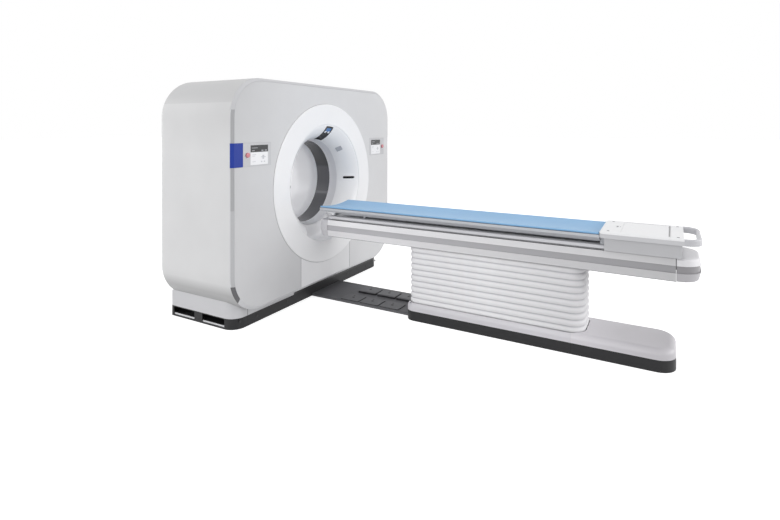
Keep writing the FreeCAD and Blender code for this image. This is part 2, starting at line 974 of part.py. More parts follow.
def make_stator():
    """Cast frame: base plate, two beams and the ring plate that carries the bearing."""
    half = place.base_half - size.base_wall - size.seam
    front = behind_face(size.base_front_inset) + size.base_wall + size.seam
    back = size.rear_face - size.base_rear_inset - size.base_wall - size.seam
    body = prism("stator_frame", "Z",
                 [rounded(-half, half, front, back, size.base_corner - size.base_wall,
                          size.base_rear_corner - size.base_wall)],
                 0, size.stator_plate)
    for side in (-1, 1):
        low, high = span(side, place.beam_inner, place.beam_outer)
        pad(body, "Z", [rectangle(low, high, front + size.base_corner, back - size.base_corner)],
            0, size.stator_beam_top)
    plate_back = size.stator_front + size.stator_thick
    shoulder = size.ring_radius + size.stator_overhang
    pad(body, "Y", [[
        (-place.beam_outer, 0),
        (place.beam_outer, 0),
        (shoulder, place.iso_height),
        (0, place.iso_height + shoulder, shoulder, 1),
        (-shoulder, place.iso_height, shoulder, 1),
    ]], size.stator_front, plate_back)
    pocket(body, "Y", [("o", 0, place.iso_height, size.stator_hole)], size.stator_front, plate_back)
    pocket(body, "Y", [("o", place.pulley_x, place.iso_height - size.pulley_drop, size.shaft_radius * 2)],
           size.stator_front, plate_back)
    keep(body)


def make_rotor():
    """Bearing, drum and everything that turns with it."""
    race = size.stator_front - size.bearing_depth
    keep(lathe("bearing_outer", [
        (race, size.hub_outer + size.running_gap),
        (size.stator_front, size.hub_outer + size.running_gap),
        (size.stator_front, size.bearing_outer_radius),
        (race, size.bearing_outer_radius),
    ]))
    plate_back = size.drum_front + size.drum_plate
    rim_back = size.drum_front + size.drum_plate + size.rim_width
    hub_back = size.stator_front - size.hub_back_gap
    keep(lathe("rotor_drum", [
        (size.drum_front, size.hub_inner),
        (hub_back, size.hub_inner),
        (hub_back, size.hub_outer),
        (rim_back, size.hub_outer),
        (rim_back, size.rim_radius),
        (plate_back, size.rim_radius),
        (plate_back, size.drum_plate_radius),
        (size.drum_front, size.drum_plate_radius),
    ]))
    pitch = size.slip_length / 5
    groove = size.slip_groove
    slip = [(hub_back, size.hub_inner), (hub_back + size.slip_length, size.hub_inner)]
    for index in range(5, 0, -1):
        high = hub_back + pitch * index
        slip += [(high, size.slip_outer), (high - pitch / 2, size.slip_outer),
                 (high - pitch / 2, size.slip_outer - groove),
                 (high - pitch, size.slip_outer - groove)]
    keep(lathe("slip_ring", slip))

    height = place.iso_height + size.tube_offset
    start = size.drum_front - size.tube_length
    tube = prism("xray_tube", "Y", [("o", 0, height, size.tube_radius)], start, size.drum_front)
    dress(tube, "Fillet", at_level("y", start), size.tube_radius / 5)
    pad(tube, "Y", [("o", 0, height, size.tube_radius / 3)], start - size.tube_radius / 10, start)
    keep(tube)

    low = place.iso_height + size.collimator_inner
    half = size.collimator_width / 2
    unit = prism("collimator", "Z",
                 [rectangle(-half, half, -size.drum_front, size.drum_front)],
                 low, low + size.collimator_height)
    slot = size.collimator_slot / 2
    pocket(unit, "Z", [rectangle(-slot, slot, -(size.drum_front / 4), size.drum_front / 4)],
           low, low + size.collimator_height)
    keep(unit)

    arc = lathe("detector_arc", [
        (size.drum_front - size.detector_length, size.detector_inner),
        (size.drum_front, size.detector_inner),
        (size.drum_front, size.detector_outer),
        (size.drum_front - size.detector_length, size.detector_outer),
    ], size.detector_angle)
    keep(turned(arc, 180))

    boxes = (
        ("voltage_tank", -1, size.tank_inner, size.tank_outer, size.tank_height, size.tank_length),
        ("counterweight", 1, size.weight_inner, size.weight_outer, size.weight_height,
         size.weight_length),
    )
    for name, side, inner, outer, height, length in boxes:
        low, high = span(side, inner, outer)
        front = size.drum_front - length
        half = height / 2
        box = prism(name, "Y", [rectangle(low, high, place.iso_height - half, place.iso_height + half)],
                    front, size.drum_front)
        dress(box, "Fillet", at_level("y", front), length / 10)
        keep(box)


def make_drive():
    """Motor behind the frame, its pulley, and the flat belt round the drum's rim."""
    centre = (place.pulley_x, place.iso_height - size.pulley_drop)
    middle = size.drum_front + size.drum_plate + size.rim_width / 2
    plate_back = size.stator_front + size.stator_thick
    motor = prism("drive_motor", "Y", [("o", *centre, size.motor_radius)],
                  plate_back, plate_back + size.motor_length)
    dress(motor, "Fillet", at_level("y", plate_back + size.motor_length), size.motor_radius / 6)
    pad(motor, "Y", [("o", *centre, size.shaft_radius)], middle - size.pulley_width / 2, plate_back)
    keep(motor)

    pulley = prism("motor_pulley", "Y", [("o", *centre, size.pulley_radius),
                                         ("o", *centre, size.shaft_radius + size.running_gap)],
                   middle - size.pulley_width / 2, middle + size.pulley_width / 2)
    keep(pulley)

    across = value(place.pulley_x)
    drop = value(size.pulley_drop)
    gap = value(size.running_gap)
    reach = math.hypot(across, drop)
    big = value(size.rim_radius) + gap
    small = value(size.pulley_radius) + gap
    width = value(size.belt_width)
    loop = []
    for extra in (0, value(size.belt_thick)):
        loop.append(belt_wire(reach, big + extra, small + extra))
    ring = Part.Face(loop[1]).cut(Part.Face(loop[0])).extrude(FreeCAD.Vector(0, 0, width))
    belt = DOC.addObject("Part::Feature", "drive_belt")
    belt.Shape = ring
    along = FreeCAD.Vector(across, 0, -drop)
    up = FreeCAD.Vector(0, 1, 0)
    side = up.cross(along).normalize()
    turn = FreeCAD.Rotation(along, side, up, "XZY")
    start = value(middle) - width / 2
    belt.Placement = FreeCAD.Placement(FreeCAD.Vector(0, start, value(place.iso_height)), turn)
    keep(belt)


def belt_wire(reach, big, small):
    """Closed belt line round two circles whose centres lie on the x axis."""
    lean = math.acos((big - small) / reach)
    top = FreeCAD.Vector(math.cos(lean), math.sin(lean), 0)
    bottom = FreeCAD.Vector(math.cos(lean), -math.sin(lean), 0)
    far = FreeCAD.Vector(reach, 0, 0)
    edges = [
        Part.Arc(top * big, FreeCAD.Vector(-big, 0, 0), bottom * big).toShape(),
        Part.LineSegment(bottom * big, far + bottom * small).toShape(),
        Part.Arc(far + bottom * small, far + FreeCAD.Vector(small, 0, 0), far + top * small).toShape(),
        Part.LineSegment(far + top * small, top * big).toShape(),
    ]
    return Part.Wire(edges)


# ------------------------------------------------------------------ table base

def make_duct():
    """Cable duct on the floor with two rows of square caps."""
    start = along_table(size.table_start)
    end = behind_face(size.base_front_inset)
    duct = prism("floor_duct", "Z", [rectangle(-size.duct_left, size.duct_right, start, end)],
                 0, size.duct_height)
    test = at_level("z", size.duct_height)
    sides = [at_level("x", -size.duct_left), at_level("x", size.duct_right)]
    dress(duct, "Chamfer", lambda point: test(point) and any(side(point) for side in sides),
          size.duct_height / 3)
    keep(duct)
    caps = []
    rows = ((-size.near_cap_x, size.near_cap_reach, size.near_cap_height),
            (size.far_cap_x, size.far_cap_reach, size.far_cap_height))
    for middle, reach, height in rows:
        top = size.duct_height + height
        for index in range(3):
            centre = start + reach - size.cap_pitch * index
            half = size.cap_length / 2
            cap = prism("cap", "Z", [rounded(middle - size.cap_width / 2, middle + size.cap_width / 2,
                                             centre - half, centre + half, size.cap_corner)],
                        size.duct_height, top)
            dress(cap, "Chamfer", at_level("z", top), height / 3)
            pocket(cap, "Z", [("o", middle, centre, size.cap_hole)], top - size.near_cap_height / 2, top)
            caps.append(cap)
    keep(fuse("duct_caps", *caps))


def table_outline(inset):
    half = size.table_width / 2 - inset
    rear = along_table(size.table_end) + inset
    front = along_table(size.table_start) - inset
    return rounded(-half, half, rear, front, size.table_rear_corner - inset,
                   size.table_front_corner - inset)


def bellows_outline(inset):
    half = size.bellows_width / 2 - inset
    rear = along_table(size.bellows_end) + inset
    front = along_table(place.bellows_start) - inset
    return rounded(-half, half, rear, front, size.bellows_rear_corner - inset,
                   size.bellows_front_corner - inset)


def make_table_base():
    """Dark plinth, white cover and rear hood round the lift."""
    wall = size.table_cover_wall
    keep(prism("table_plinth", "Z", [table_outline(0), table_outline(wall)],
               0, size.table_plinth_height))
    block = prism("table_cover_block", "Z", [table_outline(0)],
                  size.table_plinth_height, size.table_cover_height)
    dress(block, "Fillet", at_level("z", size.table_cover_height), size.table_edge_round)
    inner = prism("table_cover_hollow", "Z", [table_outline(wall)],
                  size.table_plinth_height - wall, size.table_cover_height - wall)
    dress(inner, "Fillet", at_level("z", size.table_cover_height - wall), size.table_edge_round - wall)
    hole = prism("table_cover_opening", "Z", [bellows_outline(-size.bellows_opening_gap)],
                 size.table_plinth_height, size.table_cover_height + size.table_edge_round)
    whole = cut("table_cover_whole", block, inner, hole)
    edge = along_table(size.table_split)
    foot = along_table(size.table_end + size.table_width)
    for name, low, high in (("table_cover", edge + size.seam / 2, 0),
                            ("table_hood", foot, edge - size.seam / 2)):
        space = prism(name + "_space", "Z", [rectangle(-size.table_width, size.table_width, low, high)],
                      0, size.table_cover_height * 2)
        keep(common(name, whole, space))


def make_bellows():
    """Pleated cover of the lift: one hollow bulging fold, copied upwards."""
    body = new_body("bellows")
    fold = size.bellows_fold
    wall = size.bellows_wall
    pitch = (size.beam_low - size.bellows_low) / size.bellows_pleats
    bulge = [fold, fold * size.bellows_bulge, 0, fold * size.bellows_bulge, fold]
    hollow = [fold + wall, wall, fold + wall]
    folds = []
    for kind, depths in (("PartDesign::AdditiveLoft", bulge), ("PartDesign::SubtractiveLoft", hollow)):
        step = pitch / (len(depths) - 1)
        folds.append(loft(body, kind, [(size.bellows_low + step * index, bellows_outline(depth))
                                       for index, depth in enumerate(depths)]))
    repeat(body, folds, "Z", pitch, SIZES["bellows_pleats"])
    keep(body)


# --------------------------------------------------------------- scissor lift

def bar(low_x, high_x, start, end, radius):
    """Bar with half-round ends, from low_x to high_x across the table."""
    direction = (end - start).normalize()
    side = FreeCAD.Vector(-direction.y, direction.x, 0) * radius
    edges = [
        Part.LineSegment(start - side, end - side).toShape(),
        Part.Arc(end - side, end + direction * radius, end + side).toShape(),
        Part.LineSegment(end + side, start + side).toShape(),
        Part.Arc(start + side, start - direction * radius, start - side).toShape(),
    ]
    solid = Part.Face(Part.Wire(edges)).extrude(FreeCAD.Vector(0, 0, high_x - low_x))
    solid.Placement = FreeCAD.Placement(FreeCAD.Vector(low_x, 0, 0),
                                        FreeCAD.Rotation(FreeCAD.Vector(0, 1, 0),
                                                         FreeCAD.Vector(0, 0, 1),
                                                         FreeCAD.Vector(1, 0, 0), "XYZ"))
    return solid


def shaft(low_x, high_x, spot, radius):
    return Part.makeCylinder(radius, high_x - low_x, FreeCAD.Vector(low_x, spot.x, spot.y),
                             FreeCAD.Vector(1, 0, 0))


def make_scissors():
    """Two pairs of arms that cross at a loose middle pin."""
    rear = value(along_table(place.pivot_rear))
    front = value(along_table(place.pivot_rear - place.arm_span))
    low = value(size.pivot_low)
    high = value(size.pivot_low + size.arm_rise)
    middle = FreeCAD.Vector((rear + front) / 2, (low + high) / 2, 0)
    radius = value(size.arm_height / 2)
    pin = value(size.arm_shaft_radius)
    thick = value(size.arm_thick)
    web = value(size.track_web_x)
    gap = value(size.running_gap)
    layouts = (
        ("scissor_lower", size.outer_arm_x, low, high),
        ("scissor_upper", size.inner_arm_x, high, low),
    )
    for name, side_x, rear_height, front_height in layouts:
        pivot = FreeCAD.Vector(rear, rear_height, 0)
        roller = FreeCAD.Vector(front, front_height, 0)
        inner = value(side_x)
        outer = inner + thick
        pieces = [shaft(-web + gap, web - gap, roller, pin),
                  shaft(-outer - thick, outer + thick, pivot, pin)]
        for side in (-1, 1):
            near, far = sorted((side * inner, side * outer))
            arm = bar(near, far, pivot, roller, radius)
            if name == "scissor_upper":
                arm = arm.cut(shaft(near, far, middle, pin + value(size.arm_slack)))
            else:
                tip = value(size.inner_arm_x)
                start, end = sorted((side * tip, side * inner))
                pieces.append(shaft(start, end, middle, pin))
            pieces.append(arm)
        feature = DOC.addObject("Part::Feature", name)
        feature.Shape = pieces[0].multiFuse(pieces[1:]).removeSplitter()
        keep(feature)


def add_track(body, height):
    """Two channels, open towards each other, for a pair of rollers."""
    near = along_table(place.track_front + size.track_length)
    far = along_table(place.track_front)
    half = size.arm_shaft_radius + size.track_slack
    wall = size.track_wall
    for side in (-1, 1):
        low, high = span(side, size.track_web_x, size.track_web_x + wall)
        pad(body, "Z", [rectangle(low, high, near, far)], height - half - wall,
            height + half + wall)
        low, high = span(side, size.outer_arm_x + size.arm_thick + size.arm_gap, size.track_web_x)
        for level in (height - half - wall, height + half):
            pad(body, "Z", [rectangle(low, high, near, far)], level, level + wall)


def add_brackets(body, inner, low, high, pivot_height):
    """Two lugs with a bore for a pivot shaft."""
    rear = along_table(place.pivot_rear + size.arm_height)
    front = along_table(place.pivot_rear - size.arm_height)
    for side in (-1, 1):
        left, right = span(side, inner, inner + size.arm_thick - size.running_gap)
        pad(body, "X", [rectangle(rear, front, low, high)], left, right)
        pocket(body, "X", [("o", along_table(place.pivot_rear), pivot_height,
                            size.arm_shaft_radius + size.running_gap)], left, right)


def make_table_frame():
    """Floor frame of the table: plate, box for the bellows' foot, roller channels, pivot lugs."""
    plate = size.frame_plate
    body = prism("table_frame", "Z", [table_outline(size.table_cover_wall + size.running_gap)],
                 0, plate)
    fold = size.bellows_fold
    pad(body, "Z", [bellows_outline(fold), bellows_outline(fold + size.bellows_wall)],
        plate, size.bellows_low)
    port = size.gearmotor_radius + size.bellows_opening_gap
    pocket(body, "Y", [rectangle(-port, port, plate, plate + port * 2)],
           along_table(size.bellows_end), along_table(size.bellows_end - size.bellows_rear_corner))
    low = size.pivot_low - size.arm_shaft_radius - size.track_slack - size.track_wall
    for side in (-1, 1):
        left, right = span(side, size.track_web_x, size.track_web_x + size.track_wall)
        pad(body, "Z", [rectangle(left, right, along_table(place.track_front + size.track_length),
                                  along_table(place.track_front))], 0, low)
    add_track(body, size.pivot_low)
    add_brackets(body, size.outer_arm_x + size.arm_thick + size.running_gap, 0,
                 size.pivot_low + size.arm_height / 2, size.pivot_low)
    keep(body)

    box = size.gearbox_half_width
    rear = along_table(place.pivot_rear + size.arm_height)
    front = along_table(place.pivot_rear - size.arm_height)
    unit = prism("lift_gearmotor", "X",
                 [rounded(rear, front, plate, size.pivot_low + size.arm_height, size.arm_height / 4)],
                 -box, box)
    pocket(unit, "X", [("o", along_table(place.pivot_rear), size.pivot_low,
                        size.arm_shaft_radius + size.running_gap)], -box, box)
    pad(unit, "Y", [("o", 0, plate + size.gearmotor_radius + size.seam, size.gearmotor_radius)],
        rear - size.gearmotor_length, along_table(place.pivot_rear))
    keep(unit)


# ------------------------------------------------------------------------ beam

def beam_section(inset):
    """Outline of the beam across the table: narrow foot, wide band, sloped shoulder, open top."""
    wide = size.beam_width / 2 - inset
    foot = size.beam_foot_width / 2 - inset
    shoulder = size.beam_shoulder_width / 2 - inset
    return [
        (-foot, size.beam_low + inset),
        (foot, size.beam_low + inset),
        (wide, size.band_low),
        (wide, size.band_high),
        (shoulder, size.beam_top),
        (-shoulder, size.beam_top),
        (-wide, size.band_high),
        (-wide, size.band_low),
    ]


def make_beam_cover():
    """Long cover of the beam, hollow, with a sunk band along each side."""
    start = along_table(place.beam_split) + size.seam
    end = along_table(size.beam_start + size.nose_length) - size.seam
    wall = size.beam_wall
    cover = prism("beam_cover", "Y", [beam_section(0)], start, end)
    inside = size.beam_width / 2 - size.band_depth
    for side in (-1, 1):
        left, right = span(side, inside, size.beam_width)
        pocket(cover, "Z", [rectangle(left, right, start, end)], size.band_low, size.band_high)
    hollow = size.beam_foot_width / 2 - wall
    pocket(cover, "Y", [rectangle(-hollow, hollow, size.beam_low + wall, size.beam_top)], start, end)
    pocket(cover, "Z", [bellows_outline(size.bellows_fold + size.bellows_wall * 2)],
           size.beam_low - size.seam, size.beam_low + wall + size.seam)
    keep(cover)


def make_beam_end(name, tip, joint, corner, sunk):
    """Solid end of the beam: square at its joint, with the beam's slopes led round its tip."""
    way = 1 if value(joint) > value(tip) else -1

    def outline(inset):
        half = size.beam_width / 2 - inset
        turn = corner - inset
        end = tip + inset * way
        return [
            (turn - half, end, turn, way),
            (half - turn, end),
            (half, end + turn * way, turn, way),
            (half, joint),
            (-half, joint),
            (-half, end + turn * way),
        ]

    foot = (size.beam_width - size.beam_foot_width) / 2
    shoulder = (size.beam_width - size.beam_shoulder_width) / 2
    body = new_body(name)
    kind = "PartDesign::AdditiveLoft"
    loft(body, kind, [(size.beam_low, outline(foot)), (size.band_low, outline(0))])
    pad(body, "Z", [outline(sunk)], size.band_low, size.band_high)
    loft(body, kind, [(size.band_high, outline(0)), (size.beam_top, outline(shoulder))])
    for level, inset in ((size.beam_low, foot), (size.beam_top, shoulder)):
        dress(body, "Fillet", rim_edges(level, joint, [size.beam_width / 2 - inset]), size.end_round)
    keep(body)


def make_beam_ends():
    """Plain rounded nose, and the end cap that carries the sunk band round its corners."""
    make_beam_end("beam_nose", along_table(size.beam_start),
                  along_table(size.beam_start + size.nose_length), size.nose_corner, as_size(0))
    make_beam_end("beam_end_cap", along_table(size.beam_end), along_table(place.beam_split),
                  size.end_corner, size.band_depth)


def make_lift_frame():
    """Steel frame inside the beam, with the cradle's rails on top and the lift's seats below."""
    start = along_table(size.beam_start + size.nose_length + size.beam_wall)
    end = along_table(place.beam_split - size.beam_wall)
    half = size.frame_half_width
    low = size.beam_low + size.beam_wall + size.seam
    body = prism("lift_frame", "Z", [rectangle(-half, half, end, start)],
                 size.beam_top - size.frame_plate, size.beam_top)
    for side in (-1, 1):
        left, right = span(side, half - size.frame_plate, half)
        pad(body, "Z", [rectangle(left, right, end, start)], low, size.rail_top)
        left, right = span(side, size.rail_inner, size.rail_outer)
        pad(body, "Z", [rectangle(left, right, end, start)], size.rail_low, size.rail_top)
    height = size.pivot_low + size.arm_rise
    add_track(body, height)
    for side in (-1, 1):
        left, right = span(side, size.track_web_x, size.track_web_x + size.track_wall)
        pad(body, "Z", [rectangle(left, right, along_table(place.track_front + size.track_length),
                                  along_table(place.track_front))], height, low)
    add_brackets(body, size.inner_arm_x + size.arm_thick + size.running_gap,
                 height - size.arm_height / 2, size.beam_top, height)
    keep(body)

    rollers = []
    radius = (size.cradle_low - size.rail_top) / 2 - size.running_gap
    for index in range(2):
        spot = along_table(size.roller_start + size.roller_pitch * index)
        rollers.append(prism("roller", "X", [("o", spot, size.rail_top + size.running_gap + radius,
                                              radius)], -half, half))
    keep(fuse("cradle_rollers", *rollers))

    rear = along_table(place.beam_split - size.gearmotor_length - size.beam_wall * 2)
    unit = prism("cradle_drive", "Y",
                 [rounded(-size.gearbox_half_width, size.gearbox_half_width, low + size.frame_plate,
                          size.beam_top - size.frame_plate, size.frame_plate)],
                 rear, rear + size.gearmotor_length)
    keep(unit)


# ---------------------------------------------------------------------- cradle

def make_cradle():
    """Carbon tabletop with a shallow trough, and the foam mattress in it."""
    start = along_table(size.cradle_start)
    end = along_table(place.block_start)
    half = size.cradle_width / 2
    foot = size.cradle_foot_width / 2
    trough = (half * half + size.cradle_sag * size.cradle_sag) / (size.cradle_sag * 2)
    body = prism("cradle", "Y", [[
        (-foot, size.cradle_low),
        (foot, size.cradle_low),
        (half, size.cradle_edge - size.mattress_thick),
        (half, size.cradle_edge),
        (-half, size.cradle_edge, trough, -1),
        (-half, size.cradle_edge - size.mattress_thick),
    ]], end, start)
    tip = size.cradle_edge - size.cradle_sag - size.mattress_thick / 3
    pocket(body, "X", [[
        (start - size.cradle_taper, size.cradle_low),
        (start, size.cradle_low),
        (start, tip),
        (start - size.mattress_thick, tip),
    ]], -half, half)
    tail = along_table(size.block_end - size.skirt_inset * 2)
    pad(body, "Y", [rectangle(-foot, foot, size.cradle_low, size.block_low)], tail, end)
    for side in (-1, 1):
        low, high = span(side, size.frame_half_width - size.shoe_width, size.frame_half_width)
        pad(body, "Z", [rectangle(low, high, tail, end)],
            size.rail_top + size.running_gap, size.cradle_low)
    keep(body)

    gap = size.running_gap
    lift = size.mattress_thick + gap
    keep(prism("mattress", "Y", [[
        (-half, size.cradle_edge + gap),
        (half, size.cradle_edge + gap, trough, 1),
        (half, size.cradle_edge + lift),
        (-half, size.cradle_edge + lift, trough, -1),
    ]], end + gap, start))


def make_foot_block():
    """White foot-end block with its skirts over the rails, and its lid."""
    start = along_table(place.block_start)
    end = along_table(size.block_end)
    half = size.block_width / 2
    corner = size.block_corner
    body = prism("foot_block", "Z", [[
        (-half, end),
        (half, end),
        (half, start - corner),
        (half - corner, start, corner, 1),
        (corner - half, start),
        (-half, start - corner, corner, 1),
    ]], size.block_low, size.block_top)
    dress(body, "Fillet", rim_edges(size.block_top, end, [half]), size.block_round)
    lid_half = half - size.lid_side_inset
    lid_end = end + size.lid_rear_inset
    lid_start = start - size.lid_front_inset
    pocket(body, "Z", [rounded(-lid_half, lid_half, lid_end, lid_start, size.lid_corner)],
           size.block_top - size.lid_depth, size.block_top)
    skirt = half - size.skirt_inset
    rear = end + size.skirt_rear_inset
    for side in (-1, 1):
        left, right = span(side, size.rail_outer + size.skirt_gap, skirt)
        pad(body, "Z", [rectangle(left, right, rear, start - size.skirt_front_inset)],
            size.skirt_low, size.block_low)
    pad(body, "Z", [rectangle(-skirt, skirt, rear, rear + size.skirt_gap)],
        size.rail_top + size.seam * 4, size.block_low)
    keep(body)

    gap = size.lid_gap
    keep(prism("block_lid", "Z",
               [rounded(gap / 2 - lid_half, lid_half - gap / 2, lid_end + gap * 3, lid_start - gap / 2,
                        size.lid_corner)],
               size.block_top - size.lid_depth, size.block_top - size.seam))


def make_handle():
    """Loop handle that carries on the block's sides round two large corners."""
    start = along_table(size.block_end)
    end = start - size.handle_reach
    half = size.block_width / 2
    corner = size.handle_corner
    loop = prism("handle", "Z", [[
        (corner - half, end, corner, 1),
        (half - corner, end),
        (half, end + corner, corner, 1),
        (half, start),
        (-half, start),
        (-half, end + corner),
    ]], size.block_low, size.block_top)
    inner = half - size.handle_side
    near = end + size.handle_bar
    turn = corner - size.handle_side
    pocket(loop, "Z", [[
        (corner - half, near, turn, 1),
        (half - corner, near),
        (inner, near + turn, turn, 1),
        (inner, start),
        (-inner, start),
        (-inner, near + turn),
    ]], size.block_low, size.block_top)
    dress(loop, "Fillet", rim_edges(size.block_top, start, [half, inner]), size.block_round)
    keep(loop)


# ---------------------------------------------------------------------- build

def check(items):
    """Stops on any failed object, and on any piece without a sound solid."""
    for item in DOC.Objects:
        bad = {"Invalid", "Error"} & set(item.State)
        if bad:
            raise ValueError(f"{item.Label} is {bad}")
    for item in items:
        if item.Shape.isNull() or not item.Shape.isValid() or not item.Shape.Solids:
            raise ValueError(f"{item.Label} has no sound solid")


def main():
    make_shell()
    make_front()
    make_rear_cover()
    make_front_ring()
    make_bore_tube()
    make_base()
    make_consoles()
    make_label()
    make_inlays()
    make_stator()
    make_rotor()
    make_drive()
    make_duct()
    make_table_base()
    make_bellows()
    make_scissors()
    make_table_frame()
    make_beam_cover()
    make_beam_ends()
    make_lift_frame()
    make_cradle()
    make_foot_block()
    make_handle()
    DOC.recompute()
    check(NODES)
    os.makedirs("parts", exist_ok=True)
    for item in NODES:
        item.Shape.exportStep(f"parts/{item.Label}.step")
    print(len(NODES), "pieces written")


main()
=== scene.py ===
import math

import bpy
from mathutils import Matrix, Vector, noise


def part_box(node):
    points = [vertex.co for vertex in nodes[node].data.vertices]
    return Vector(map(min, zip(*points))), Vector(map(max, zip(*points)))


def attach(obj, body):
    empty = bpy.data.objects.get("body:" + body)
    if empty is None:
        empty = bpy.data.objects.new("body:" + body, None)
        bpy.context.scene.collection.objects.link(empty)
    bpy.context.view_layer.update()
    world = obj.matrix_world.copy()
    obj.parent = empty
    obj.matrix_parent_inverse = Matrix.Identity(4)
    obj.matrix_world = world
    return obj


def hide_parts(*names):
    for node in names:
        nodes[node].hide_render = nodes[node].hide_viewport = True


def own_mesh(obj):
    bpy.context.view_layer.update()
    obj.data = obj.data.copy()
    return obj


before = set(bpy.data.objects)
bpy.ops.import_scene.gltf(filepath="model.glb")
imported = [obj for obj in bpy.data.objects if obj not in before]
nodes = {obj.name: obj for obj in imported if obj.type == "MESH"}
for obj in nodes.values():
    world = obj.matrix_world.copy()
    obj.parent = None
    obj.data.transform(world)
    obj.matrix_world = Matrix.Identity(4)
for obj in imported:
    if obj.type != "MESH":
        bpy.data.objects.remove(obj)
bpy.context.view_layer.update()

ISO = 1.0  # height of the bore's axis
FRONT = -0.31  # the front cover's face along y


def show(thing):
    """Links a new object into the scene."""
    bpy.context.scene.collection.objects.link(thing)
    return thing


# ----------------------------------------------------------------- camera and light

def add_camera():
    """A level camera beside the foot end of the table."""
    data = bpy.data.cameras.new("camera")
    data.lens = 23.16
    data.sensor_width = 36
    data.shift_y = -0.1712
    camera = show(bpy.data.objects.new("camera", data))
    camera.location = (-3.66, -3.008, 1.5)
    camera.rotation_euler = (math.radians(90), 0, math.radians(-60.75))
    bpy.context.scene.camera = camera


def add_area(name, place, target, width, height, power):
    """A soft rectangular lamp aimed at a point."""
    data = bpy.data.lights.new(name, "AREA")
    data.shape = "RECTANGLE"
    data.size = width
    data.size_y = height
    data.energy = power
    lamp = show(bpy.data.objects.new(name, data))
    lamp.location = place
    lamp.rotation_euler = (Vector(target) - Vector(place)).to_track_quat("-Z", "Y").to_euler()


def seen_as(tree, shader, seen_shader):
    """Mixes in another shader for what the camera, a mirror or glass looks at."""
    path = tree.nodes.new("ShaderNodeLightPath")
    seen = path.outputs["Is Camera Ray"]
    for name in ("Is Glossy Ray", "Is Transmission Ray"):
        either = tree.nodes.new("ShaderNodeMath")
        either.operation = "MAXIMUM"
        tree.links.new(seen, either.inputs[0])
        tree.links.new(path.outputs[name], either.inputs[1])
        seen = either.outputs[0]
    mix = tree.nodes.new("ShaderNodeMixShader")
    tree.links.new(seen, mix.inputs["Fac"])
    tree.links.new(shader, mix.inputs[1])
    tree.links.new(seen_shader, mix.inputs[2])
    return mix.outputs[0]


def add_world():
    """A dim bluish sky that is seen as plain white."""
    world = bpy.data.worlds.new("studio")
    world.use_nodes = True
    tree = world.node_tree
    sky = tree.nodes["Background"]
    sky.inputs["Color"].default_value = (0.97, 0.975, 1, 1)
    sky.inputs["Strength"].default_value = 0.5
    white = tree.nodes.new("ShaderNodeBackground")
    white.inputs["Color"].default_value = (1, 1, 1, 1)
    result = seen_as(tree, sky.outputs[0], white.outputs[0])
    tree.links.new(result, tree.nodes["World Output"].inputs["Surface"])
    bpy.context.scene.world = world


def add_floor():
    """A wide grey floor that looks almost white but still takes a faint shadow."""
    half, drop = 60, 0.0005
    mesh = bpy.data.meshes.new("floor")
    mesh.from_pydata([(-half, -half, 0), (half, -half, 0), (half, half, 0), (-half, half, 0)], [],
                     [(0, 1, 2, 3)])
    floor = show(bpy.data.objects.new("floor", mesh))
    floor.location = (0, 0, -drop)
    material = bpy.data.materials.new("floor")
    material.use_nodes = True
    tree = material.node_tree
    paint = tree.nodes["Principled BSDF"]
    paint.inputs["Base Color"].default_value = (0.62, 0.62, 0.62, 1)
    paint.inputs["Roughness"].default_value = 0.9
    paint.inputs["Specular IOR Level"].default_value = 0.1
    glow = tree.nodes.new("ShaderNodeEmission")
    glow.inputs["Color"].default_value = (1, 1, 1, 1)
    glow.inputs["Strength"].default_value = 0.82
    bright = tree.nodes.new("ShaderNodeAddShader")
    tree.links.new(paint.outputs[0], bright.inputs[0])
    tree.links.new(glow.outputs[0], bright.inputs[1])
    result = seen_as(tree, paint.outputs[0], bright.outputs[0])
    tree.links.new(result, tree.nodes["Material Output"].inputs["Surface"])
    floor.data.materials.append(material)


# ------------------------------------------------------------------------ materials

def colour(red, green, blue):
    """A colour given as it looks on screen, 0 to 255."""
    def linear(part):
        part /= 255
        return part / 12.92 if part <= 0.04045 else ((part + 0.055) / 1.055) ** 2.4
    return (linear(red), linear(green), linear(blue), 1)


